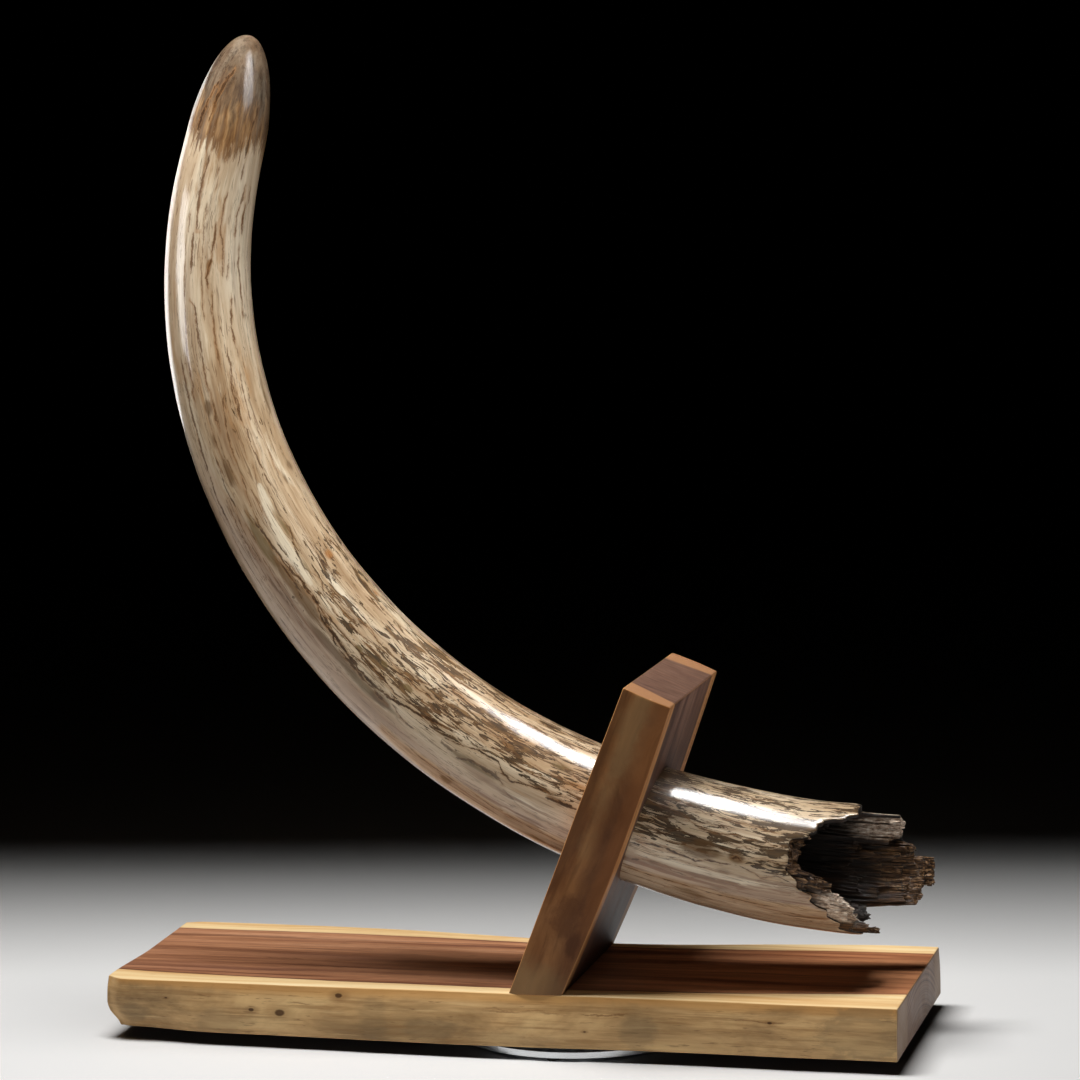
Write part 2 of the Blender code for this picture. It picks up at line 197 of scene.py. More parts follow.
class Nodes:
    """A material's nodes, written as calls."""

    def __init__(self, name):
        self.material = bpy.data.materials.new(name)
        self.material.use_nodes = True
        self.tree = self.material.node_tree
        self.tree.nodes.clear()

    def put(self, socket, value):
        if isinstance(value, bpy.types.NodeSocket):
            self.tree.links.new(value, socket)
        elif value is not None:
            socket.default_value = value

    def node(self, kind, **props):
        n = self.tree.nodes.new(kind)
        for k, v in props.items():
            setattr(n, k, v)
        return n

    def attr(self, name):
        return self.node("ShaderNodeAttribute", attribute_name=name)

    def value(self, name):
        return self.attr(name).outputs["Fac"]

    def vector(self, name):
        return self.attr(name).outputs["Vector"]

    def coords(self):
        return self.node("ShaderNodeTexCoord").outputs["Object"]

    def math(self, op, a, b=None, c=None, clamp=False):
        n = self.node("ShaderNodeMath", operation=op, use_clamp=clamp)
        for i, v in enumerate((a, b, c)):
            if v is not None:
                self.put(n.inputs[i], v)
        return n.outputs[0]

    def add(self, a, b):
        return self.math("ADD", a, b)

    def sub(self, a, b):
        return self.math("SUBTRACT", a, b)

    def mul(self, a, b):
        return self.math("MULTIPLY", a, b)

    def vmath(self, op, a, b=None):
        n = self.node("ShaderNodeVectorMath", operation=op)
        self.put(n.inputs[0], a)
        if b is not None:
            self.put(n.inputs[1], b)
        return n.outputs["Value" if op in ("DOT_PRODUCT", "LENGTH") else "Vector"]

    def stretch(self, v, xyz):
        return self.vmath("MULTIPLY", v, xyz)

    def split(self, v):
        n = self.node("ShaderNodeSeparateXYZ")
        self.put(n.inputs[0], v)
        return n.outputs

    def join(self, x, y, z):
        n = self.node("ShaderNodeCombineXYZ")
        for i, v in enumerate((x, y, z)):
            self.put(n.inputs[i], v)
        return n.outputs[0]

    def noise(self, v, scale, detail=4.0, rough=0.55, distort=0.0, lacunarity=2.0):
        n = self.node("ShaderNodeTexNoise")
        self.put(n.inputs["Vector"], v)
        n.inputs["Scale"].default_value = scale
        n.inputs["Detail"].default_value = detail
        n.inputs["Roughness"].default_value = rough
        n.inputs["Lacunarity"].default_value = lacunarity
        n.inputs["Distortion"].default_value = distort
        return n.outputs["Fac"]

    def cells(self, v, scale, feature="F1", random=1.0, out="Distance"):
        n = self.node("ShaderNodeTexVoronoi", feature=feature)
        self.put(n.inputs["Vector"], v)
        n.inputs["Scale"].default_value = scale
        n.inputs["Randomness"].default_value = random
        return n.outputs[out]

    def step(self, v, a, b, lo=0.0, hi=1.0, kind="SMOOTHSTEP"):
        n = self.node("ShaderNodeMapRange", interpolation_type=kind)
        self.put(n.inputs["Value"], v)
        for key, val in zip(("From Min", "From Max", "To Min", "To Max"), (a, b, lo, hi)):
            self.put(n.inputs[key], val)
        return n.outputs["Result"]

    def mix(self, fac, a, b, blend="MIX"):
        n = self.node("ShaderNodeMix", data_type="RGBA", blend_type=blend)
        self.put(n.inputs["Factor"], fac)
        self.put(n.inputs["A"] if False else n.inputs[6], a)
        self.put(n.inputs[7], b)
        return n.outputs[2]

    def mixv(self, fac, a, b):
        n = self.node("ShaderNodeMix", data_type="FLOAT")
        self.put(n.inputs[0], fac)
        self.put(n.inputs[2], a)
        self.put(n.inputs[3], b)
        return n.outputs[0]

    def ramp(self, v, stops, kind="LINEAR"):
        n = self.node("ShaderNodeValToRGB")
        self.put(n.inputs[0], v)
        r = n.color_ramp
        r.interpolation = kind
        while len(r.elements) < len(stops):
            r.elements.new(0.5)
        for e, (at, colour) in zip(r.elements, stops):
            e.position = at
            e.color = colour
        return n.outputs["Color"]

    def bump(self, height, strength, distance, normal=None):
        n = self.node("ShaderNodeBump")
        n.inputs["Strength"].default_value = strength
        n.inputs["Distance"].default_value = distance
        self.put(n.inputs["Height"], height)
        if normal is not None:
            self.put(n.inputs["Normal"], normal)
        return n.outputs["Normal"]

    def finish(self, colour, roughness, normal=None, **sockets):
        b = self.node("ShaderNodeBsdfPrincipled")
        self.put(b.inputs["Base Color"], colour)
        self.put(b.inputs["Roughness"], roughness)
        if normal is not None:
            self.put(b.inputs["Normal"], normal)
        for key, v in sockets.items():
            self.put(b.inputs[key.replace("_", " ")], v)
        out = self.node("ShaderNodeOutputMaterial")
        self.tree.links.new(b.outputs[0], out.inputs["Surface"])
        return self.material


# ---------------------------------------------------------------- the ivory
def ivory():
    """Polished ivory. "flow" straightens the tusk: X runs along it, Y and Z across, in metres."""
    n = Nodes("ivory")
    p = n.vector("flow")
    warp = n.noise(n.stretch(p, (9, 14, 14)), 1.0, 3.0)
    wob = n.mul(n.sub(warp, 0.5), 0.012)
    x, y, z = n.split(p)[:3]
    q = n.join(x, n.add(y, wob), n.sub(z, wob))
    mottle, under, tip = n.split(n.vector("zones"))[:3]
    brown, olive, orange = n.split(n.vector("stains"))[:3]

    # broad tone: cream, tan and grey bands that run along the tusk
    tone = n.noise(n.stretch(q, (3.2, 34, 34)), 1.0, 6.0, 0.62)
    colour = n.ramp(tone, [(0.30, srgb(146, 115, 84)), (0.41, srgb(188, 160, 126)), (0.50, srgb(214, 191, 160)), (0.60, srgb(232, 214, 187)), (0.74, srgb(242, 230, 208))])
    silk = n.noise(n.stretch(q, (14, 240, 240)), 1.0, 4.0, 0.65)
    colour = n.mix(n.step(silk, 0.40, 0.68, 0.0, 0.36), colour, srgb(158, 125, 90))
    cream = n.noise(n.stretch(q, (6, 62, 62)), 1.0, 4.0, 0.55)
    colour = n.mix(n.step(cream, 0.52, 0.70, 0.0, 0.65), colour, srgb(235, 220, 192))
    warm = n.noise(n.stretch(q, (9, 52, 52)), 1.3, 5.0, 0.62)
    colour = n.mix(n.step(warm, 0.55, 0.70, 0.0, 0.62), colour, srgb(182, 137, 90))
    ragged = n.noise(n.stretch(q, (26, 150, 150)), 1.0, 5.0, 0.65)
    loose = n.sub(ragged, 0.5)
    # pale streaks; one of them is partly painted highlight
    pale = n.step(n.add(n.value("pale"), n.mul(n.sub(n.noise(n.stretch(q, (22, 210, 210)), 1.0, 6.0, 0.7), 0.5), 2.2)), 0.30, 0.95, 0.0, 0.85)
    colour = n.mix(pale, colour, srgb(238, 224, 198))

    # underside: grey and mauve with fine brown lines
    greyed = n.ramp(n.noise(n.stretch(q, (4, 40, 40)), 1.7, 5.0, 0.6), [(0.3, srgb(150, 120, 96)), (0.5, srgb(180, 151, 125)), (0.7, srgb(206, 180, 152))])
    colour = n.mix(n.mul(n.step(n.add(under, n.mul(loose, 0.5)), 0.1, 0.8), 0.85), colour, greyed)

    # thin brown lines along the grain
    line_a = n.noise(n.stretch(q, (7, 170, 170)), 1.0, 3.0, 0.55)
    thin_a = n.step(n.math("ABSOLUTE", n.sub(line_a, 0.47)), 0.0, 0.016, 1.0, 0.0)
    gate_a = n.step(n.noise(n.stretch(q, (11, 46, 46)), 1.4, 2.0), 0.44, 0.58)
    line_b = n.noise(n.stretch(q, (16, 420, 420)), 1.0, 2.0, 0.5)
    thin_b = n.step(line_b, 0.61, 0.68)
    gate_b = n.step(n.noise(n.stretch(q, (12, 60, 60)), 2.1, 2.0), 0.42, 0.62)
    line_c = n.noise(n.stretch(q, (4, 115, 115)), 1.0, 5.0, 0.6)
    thin_c = n.step(n.math("ABSOLUTE", n.sub(line_c, 0.545)), 0.002, 0.012, 1.0, 0.0)
    gate_c = n.step(n.noise(n.stretch(q, (8, 36, 36)), 1.7, 3.0), 0.40, 0.56)
    fine = n.math("MAXIMUM", n.mul(n.mul(thin_a, gate_a), 0.9), n.mul(n.mul(thin_b, gate_b), 0.7))
    fine = n.math("MAXIMUM", fine, n.mul(n.mul(thin_c, gate_c), 0.85))
    seam = n.noise(n.stretch(q, (2.4, 78, 78)), 1.3, 5.0, 0.62)
    seamed = n.mul(n.step(seam, 0.53, 0.62), n.step(n.add(under, n.step(x, 0.66, 0.36, 0.0, 0.5)), 0.3, 0.9, 0.15, 0.75))
    colour = n.mix(seamed, colour, n.mix(silk, srgb(84, 52, 32), srgb(148, 98, 62)))
    colour = n.mix(n.mul(fine, 0.85), colour, srgb(98, 68, 40))

    # dark mottling: filled marks with a darker ragged rim, thick where the zone says
    marks = n.noise(n.stretch(q, (36, 250, 250)), 1.0, 5.0, 0.66, 0.9)
    limit = n.step(mottle, 0.0, 1.0, 0.72, 0.497, "LINEAR")
    limit = n.sub(limit, n.mul(mottle, n.step(x, 0.40, 0.32, 0.0, 0.022)))
    bunch = n.step(n.noise(n.stretch(q, (10, 46, 46)), 1.2, 3.0, 0.6), 0.36, 0.64, -0.07, 0.06, "LINEAR")
    over = n.sub(n.add(marks, n.mul(bunch, n.step(mottle, 0.1, 0.4))), limit)
    dark = n.step(over, 0.0, 0.020)
    rim = n.mul(n.step(n.math("ABSOLUTE", n.sub(over, 0.012)), 0.006, 0.018, 1.0, 0.0), 1.0)
    fill = n.ramp(n.noise(n.stretch(q, (24, 110, 110)), 2.0, 3.0), [(0.38, srgb(44, 30, 16)), (0.52, srgb(74, 51, 29)), (0.66, srgb(126, 93, 56))])
    fill = n.mix(n.step(x, 0.34, 0.24, 0.0, 0.65), fill, srgb(42, 28, 15))
    colour = n.mix(n.mul(dark, 0.90), colour, fill)
    colour = n.mix(n.mul(rim, n.step(mottle, 0.05, 0.4, 0.35, 0.92)), colour, srgb(50, 33, 18))

    # stains
    def worn(value, amount):
        return n.mul(n.mul(n.step(n.add(n.mul(value, 1.4), loose), 0.30, 0.80), n.step(value, 0.03, 0.25)), amount)

    colour = n.mix(worn(orange, 0.7), colour, srgb(170, 112, 58))
    colour = n.mix(worn(olive, 0.8), colour, srgb(118, 97, 62))
    colour = n.mix(worn(brown, 0.75), colour, srgb(106, 77, 47))

    # the brown, smooth tip with its ragged edge
    edge = n.noise(n.stretch(q, (30, 190, 190)), 1.0, 5.0, 0.65)
    tipped = n.step(n.add(tip, n.mul(n.sub(edge, 0.5), 1.1)), 0.48, 0.62)
    tipc = n.ramp(n.noise(n.stretch(q, (9, 90, 90)), 1.2, 5.0, 0.62), [(0.34, srgb(70, 42, 22)), (0.45, srgb(120, 82, 46)), (0.54, srgb(166, 124, 78)), (0.66, srgb(206, 168, 122))])
    apex = n.ramp(n.noise(n.stretch(q, (16, 130, 130)), 1.0, 5.0, 0.65), [(0.3, srgb(34, 23, 16)), (0.48, srgb(58, 42, 32)), (0.66, srgb(84, 66, 52))])
    tipc = n.mix(n.step(n.add(x, n.mul(loose, 0.10)), 1.178, 1.225), tipc, apex)
    colour = n.mix(n.mul(tipped, n.step(edge, 0.3, 0.6, 0.96, 0.80)), colour, tipc)

    # the growth lines and cracks
    shake = n.mul(n.sub(n.noise(n.stretch(p, (95, 95, 95)), 1.0, 4.0, 0.7), 0.5), 4.2)
    swell = n.step(n.noise(n.stretch(p, (90, 260, 260)), 1.0, 4.0, 0.65), 0.34, 0.68, 0.0, 1.8, "LINEAR")
    crack = halo = None
    for name in ("ink_a", "ink_b", "ink_c"):
        across, width, near = n.split(n.vector(name))[:3]
        off = n.sub(n.math("ABSOLUTE", n.add(across, shake)), n.mul(width, swell))
        ink = n.mul(n.step(off, -0.45, 0.35, 1.0, 0.0), near)
        veil = n.mul(n.step(off, 0.0, 2.4, 1.0, 0.0), near)
        crack = ink if crack is None else n.math("MAXIMUM", crack, ink)
        halo = veil if halo is None else n.math("MAXIMUM", halo, veil)
    colour = n.mix(n.mul(halo, n.step(ragged, 0.42, 0.62, 0.12, 0.62)), colour, srgb(158, 112, 68))
    colour = n.mix(n.mul(crack, 0.9), colour, n.mix(n.mul(n.step(swell, 0.3, 1.4), n.math("MAXIMUM", n.step(x, 1.0, 0.72), n.step(x, 1.14, 1.17))), srgb(104, 70, 40), srgb(56, 36, 20)))

    height = n.add(n.add(n.mul(dark, -0.2), n.mul(rim, -0.2)), n.add(n.mul(fine, -0.2), n.add(n.mul(crack, -0.45), n.mul(silk, 0.45))))
    bump = n.bump(height, 0.34, 0.0007)
    worn_ = n.noise(n.stretch(q, (70, 190, 190)), 1.0, 4.0, 0.6)
    bump = n.bump(worn_, 0.16, 0.0010, bump)
    grain = n.noise(n.stretch(q, (45, 900, 900)), 1.0, 2.0)
    bump = n.bump(grain, 0.12, 0.0004, bump)
    rough = n.step(silk, 0.3, 0.7, 0.24, 0.40)
    rough = n.mixv(n.math("MAXIMUM", n.mul(dark, 0.5), crack), rough, 0.5)
    return n.finish(colour, rough, bump, Coat_Weight=0.85, Coat_Roughness=0.10, Specular_IOR_Level=0.15)


def broken():
    """The splintered inside of the root: fibrous brown where it broke; golden as painted light where the far wall's
    inside faces the light; chalky on the slab and chunk, partly painted light; painted shade, dark in the hollow.
    """
    n = Nodes("ivory_broken")
    p = n.vector("flow")
    tone = n.noise(n.stretch(p, (30, 260, 260)), 1.0, 5.0, 0.68)
    colour = n.ramp(tone, [(0.32, srgb(16, 10, 6)), (0.46, srgb(44, 28, 17)), (0.58, srgb(88, 60, 36)), (0.72, srgb(138, 100, 62))])
    edge, chalk_and_painted_light = n.value("edge"), n.value("pale")
    fibre = n.noise(n.stretch(p, (45, 520, 520)), 1.0, 4.0, 0.7)
    light = n.ramp(fibre, [(0.38, srgb(30, 19, 12)), (0.49, srgb(88, 62, 40)), (0.59, srgb(144, 110, 76)), (0.70, srgb(204, 176, 142))])
    # lighter close to the break; on the far wall's inside and the chalky slab this lightening is painted light
    colour = n.mix(n.mul(edge, n.step(tone, 0.32, 0.56, 0.35, 1.0)), colour, light)
    crumbly = n.noise(n.stretch(p, (150, 420, 420)), 1.0, 5.0, 0.7)
    grey = n.ramp(crumbly, [(0.36, srgb(92, 72, 58)), (0.45, srgb(176, 152, 132)), (0.55, srgb(222, 204, 186)), (0.66, srgb(248, 240, 228))])
    # chalky white on the slab and the lower chunk, partly chalk and partly painted light
    colour = n.mix(n.mul(chalk_and_painted_light, n.step(tone, 0.34, 0.52, 0.45, 0.95)), colour, grey)
    across = n.noise(n.stretch(p, (260, 60, 60)), 1.0, 4.0, 0.65)
    bare = n.step(chalk_and_painted_light, 0.2, 0.8, 1.0, 0.3)
    colour = n.mix(n.mul(n.step(across, 0.55, 0.64, 0.0, 0.75), bare), colour, srgb(24, 14, 9))
    split_ = n.noise(n.stretch(p, (18, 150, 150)), 1.4, 3.0, 0.6)
    colour = n.mix(n.mul(n.step(n.math("ABSOLUTE", n.sub(split_, 0.5)), 0.004, 0.022, 0.85, 0.0), bare), colour, srgb(14, 8, 5))
    # painted shade: near black deeper in the hollow
    colour = n.mix(n.value("dark"), colour, srgb(16, 10, 7))
    height = n.add(tone, n.add(n.mul(fibre, 0.6), n.mul(crumbly, 0.5)))
    bump = n.bump(height, 0.9, 0.0016)
    return n.finish(colour, n.step(tone, 0.3, 0.7, 0.4, 0.75), bump, Specular_IOR_Level=0.4)


# ---------------------------------------------------------------- the walnut
def spot(n, u, v, at, to, over, loose, soft=0.35):
    """A soft-edged oval at (at, to) with half sizes over, its rim moved about by loose."""
    away = n.vmath("LENGTH", n.join(n.mul(n.sub(u, at), 1 / over[0]), n.mul(n.sub(v, to), 1 / over[1]), 0.0))
    return n.step(n.add(away, loose), 1 - soft, 1 + soft, 1.0, 0.0)


def walnut_plank():
    """Object coordinates are the frame's own: X along the plank, Y to the back."""
    n = Nodes("walnut_plank")
    p = n.coords()
    x, y, z = n.split(p)[:3]
    wob = n.mul(n.sub(n.noise(n.stretch(p, (3.0, 9, 9)), 1.0, 2.0), 0.5), 0.03)
    q = n.join(x, n.add(y, wob), n.add(z, n.mul(wob, 0.5)))
    grain = n.noise(n.stretch(q, (1.8, 44, 44)), 1.0, 6.0, 0.64)
    heart = n.ramp(grain, [(0.30, srgb(118, 76, 56)), (0.43, srgb(164, 112, 82)), (0.54, srgb(196, 140, 104)), (0.68, srgb(218, 164, 128))])
    heart = n.mix(n.step(x, 0.0, 0.30, 0.0, 0.7), heart, n.mix(n.step(grain, 0.3, 0.7), srgb(126, 72, 46), srgb(228, 156, 108)))
    # grey-mauve patches towards the left: partly the wood's tone, partly painted sheen
    mauve = n.noise(n.stretch(q, (2.6, 16, 16)), 1.6, 3.0)
    heart = n.mix(n.mul(n.step(mauve, 0.48, 0.70, 0.0, 0.5), n.step(x, -0.1, 0.15, 1.0, 0.2)), heart, srgb(160, 112, 92))
    streak = n.noise(n.stretch(q, (2.2, 120, 120)), 1.0, 3.0, 0.6)
    heart = n.mix(n.step(streak, 0.56, 0.66, 0.0, 0.5), heart, srgb(84, 50, 38))
    pores = n.noise(n.stretch(q, (30, 620, 620)), 1.0, 2.0)
    heart = n.mix(n.step(pores, 0.60, 0.70, 0.0, 0.45), heart, srgb(62, 36, 28))

    # sapwood along both natural edges
    sap = n.ramp(n.noise(n.stretch(q, (2.2, 80, 80)), 1.0, 4.0), [(0.3, srgb(224, 178, 120)), (0.5, srgb(248, 216, 162)), (0.7, srgb(255, 234, 188))])
    sap = n.mix(n.step(pores, 0.58, 0.72, 0.0, 0.35), sap, srgb(196, 146, 92))
    wander = n.mul(n.sub(n.noise(n.stretch(p, (7, 2, 2)), 1.0, 3.0), 0.5), 0.009)
    front_at = n.add(n.add(n.mul(x, 0.0228), -0.1022), n.mul(n.mul(x, x), 0.1485))
    waist = n.mul(n.sub(x, 0.0766), 1 / 0.17)
    back_at = n.sub(0.0935, n.mul(n.math("EXPONENT", n.mul(n.mul(waist, waist), -1.0)), 0.017))
    front = n.sub(n.add(y, wander), front_at)
    back = n.sub(n.add(y, wander), back_at)
    rimmed = n.math("MAXIMUM", n.step(front, -0.0015, 0.0015, 1.0, 0.0), n.step(back, -0.002, 0.002))
    colour = n.mix(rimmed, heart, sap)
    line = n.math("MAXIMUM", n.step(n.math("ABSOLUTE", n.sub(front, 0.0022)), 0.0, 0.0026, 0.55, 0.0), n.step(n.math("ABSOLUTE", n.add(back, 0.003)), 0.0, 0.003, 0.5, 0.0))
    colour = n.mix(line, colour, srgb(78, 44, 32))

    # a drying check in the top
    crack = n.math("ABSOLUTE", n.add(n.add(y, 0.019), n.mul(n.sub(n.noise(n.stretch(p, (60, 60, 60)), 1.0, 3.0), 0.5), 0.006)))
    crack = n.mul(n.step(crack, 0.0003, 0.0009, 1.0, 0.0), n.step(n.math("ABSOLUTE", n.add(x, 0.251)), 0.016, 0.024, 1.0, 0.0))
    colour = n.mix(n.mul(crack, 0.85), colour, srgb(34, 20, 14))

    # the peeled live edges: khaki and honey, clouded grey and olive, with knots
    nx, ny, nz = n.split(n.vmath("ABSOLUTE", n.node("ShaderNodeTexCoord").outputs["Normal"]))[:3]
    facing = n.split(n.node("ShaderNodeTexCoord").outputs["Normal"])[1]
    live = n.step(ny, 0.55, 0.85)
    cloud = n.noise(n.stretch(p, (7, 12, 24)), 1.0, 5.0, 0.62, 0.6)
    khaki = n.ramp(cloud, [(0.32, srgb(140, 110, 74)), (0.43, srgb(174, 140, 96)), (0.54, srgb(202, 164, 114)), (0.66, srgb(222, 186, 132))])
    fibre = n.noise(n.stretch(p, (9, 60, 210)), 1.0, 5.0, 0.66)
    khaki = n.mix(n.step(fibre, 0.46, 0.66, 0.0, 0.6), khaki, srgb(146, 108, 66))
    khaki = n.mix(n.step(fibre, 0.42, 0.30, 0.0, 0.45), khaki, srgb(226, 192, 140))
    fleck = n.noise(n.stretch(p, (42, 160, 420)), 1.0, 3.0, 0.6)
    khaki = n.mix(n.step(fleck, 0.62, 0.70, 0.0, 0.5), khaki, srgb(104, 72, 44))
    khaki = n.mix(n.step(n.add(z, n.mul(n.sub(cloud, 0.5), 0.02)), 0.052, 0.062, 0.0, 0.7), khaki, srgb(200, 146, 82))
    loose = n.mul(n.sub(n.noise(n.stretch(p, (26, 40, 70)), 1.0, 5.0, 0.7), 0.5), 2.4)
    grey = None
    for at, to, over, amount in (
        (-0.378, 0.028, (0.016, 0.010), 0.55), (-0.278, 0.024, (0.028, 0.012), 0.45), (-0.062, 0.026, (0.030, 0.010), 0.5),
        (0.150, 0.032, (0.018, 0.016), 0.55), (-0.120, 0.032, (0.016, 0.020), 0.4), (0.020, 0.020, (0.05, 0.006), 0.3),
    ):
        patch = n.mul(spot(n, x, z, at, to, over, loose), amount)
        grey = patch if grey is None else n.math("MAXIMUM", grey, patch)
    loop = n.sub(spot(n, x, z, 0.370, 0.038, (0.042, 0.026), loose, 0.2), n.mul(spot(n, x, z, 0.366, 0.036, (0.030, 0.015), loose, 0.3), 0.55))
    grey = n.math("MAXIMUM", grey, n.mul(loop, 0.65))
    khaki = n.mix(n.mul(n.mul(grey, n.step(cloud, 0.30, 0.60, 1.0, 0.6)), n.step(facing, -0.2, -0.5)), khaki, srgb(124, 104, 76))
    bark = n.step(n.math("ABSOLUTE", n.sub(n.add(z, n.mul(loose, 0.006)), 0.047)), 0.0003, 0.0012, 1.0, 0.0)
    bark = n.mul(bark, n.math("MAXIMUM", n.step(n.math("ABSOLUTE", n.sub(x, 0.036)), 0.03, 0.055, 0.5, 0.0), n.step(n.noise(n.stretch(p, (12, 3, 3)), 1.0, 2.0), 0.60, 0.68)))
    khaki = n.mix(n.mul(bark, 0.55), khaki, srgb(104, 66, 36))
    knots, dents = None, None
    for at, to, over in ((-0.157, 0.0553, (0.0042, 0.0024)), (-0.218, 0.0365, (0.0060, 0.0036)), (-0.248, 0.0384, (0.0034, 0.0020)), (0.278, 0.0459, (0.0030, 0.0014)), (0.095, 0.030, (0.0016, 0.0007)), (-0.340, 0.046, (0.0018, 0.0008))):
        hole = spot(n, x, z, at, to, (over[0] * 0.85, over[1] * 0.85), n.mul(loose, 0.3), 0.25)
        ring = spot(n, x, z, at, to, (over[0] * 2.2, over[1] * 1.9), n.mul(loose, 0.35), 0.6)
        knots = hole if knots is None else n.math("MAXIMUM", knots, hole)
        dents = ring if dents is None else n.math("MAXIMUM", dents, ring)
    khaki = n.mix(n.mul(dents, 0.45), khaki, srgb(124, 84, 48))
    khaki = n.mix(n.mul(knots, 0.85), khaki, srgb(62, 36, 20))
    colour = n.mix(live, colour, khaki)

    # sawn ends: grey-mauve end grain with growth rings, tan at the sapwood
    rings = n.noise(n.join(n.mul(n.vmath("LENGTH", n.join(0.0, n.add(y, n.mul(wob, 0.3)), n.add(z, 0.11))), 330.0), 0.0, 0.0), 1.0, 3.0, 0.6)
    end = n.ramp(rings, [(0.32, srgb(104, 76, 60)), (0.5, srgb(142, 108, 86)), (0.68, srgb(170, 132, 106))])
    end = n.mix(n.step(n.cells(n.stretch(p, (300, 900, 900)), 1.0), 0.15, 0.4, 0.35, 0.0), end, srgb(74, 54, 44))
    end = n.mix(n.math("MAXIMUM", n.step(front, -0.004, 0.002, 0.6, 0.0), n.step(back, -0.002, 0.004, 0.0, 0.6)), end, srgb(172, 140, 110))
    sawn = n.step(nx, 0.55, 0.85)
    colour = n.mix(sawn, colour, end)
    # lighter arrises: painted highlight along the edges, partly wear
    sharp = n.step(n.math("MAXIMUM", nx, n.math("MAXIMUM", ny, nz)), 0.84, 0.96, 1.0, 0.0)
    colour = n.mix(n.mul(n.mul(sharp, n.step(sawn, 0.0, 0.5, 1.0, 0.25)), n.step(loose, -0.8, 0.8, 0.15, 0.6)), colour, srgb(226, 184, 128))
    height = n.add(n.add(n.mul(pores, 0.5), grain), n.sub(n.mul(n.mul(fibre, live), 0.7), n.mul(n.math("MAXIMUM", knots, crack), 3.0)))
    # painted shade: the underside is made near black, to keep bounce light out of the gap under the plank
    colour = n.mix(n.step(n.split(n.node("ShaderNodeTexCoord").outputs["Normal"])[2], -0.5, -0.8), colour, srgb(44, 30, 22))
    bump = n.bump(height, 0.25, 0.0007)
    return n.finish(colour, n.mixv(live, n.step(grain, 0.3, 0.7, 0.42, 0.56), 0.6), bump, Coat_Weight=0.06, Coat_Roughness=0.3, Specular_IOR_Level=0.2)


LEAN = math.radians(22.0)
ALONG = (math.sin(LEAN), 0.0, math.cos(LEAN))
ACROSS = (math.cos(LEAN), 0.0, -math.sin(LEAN))


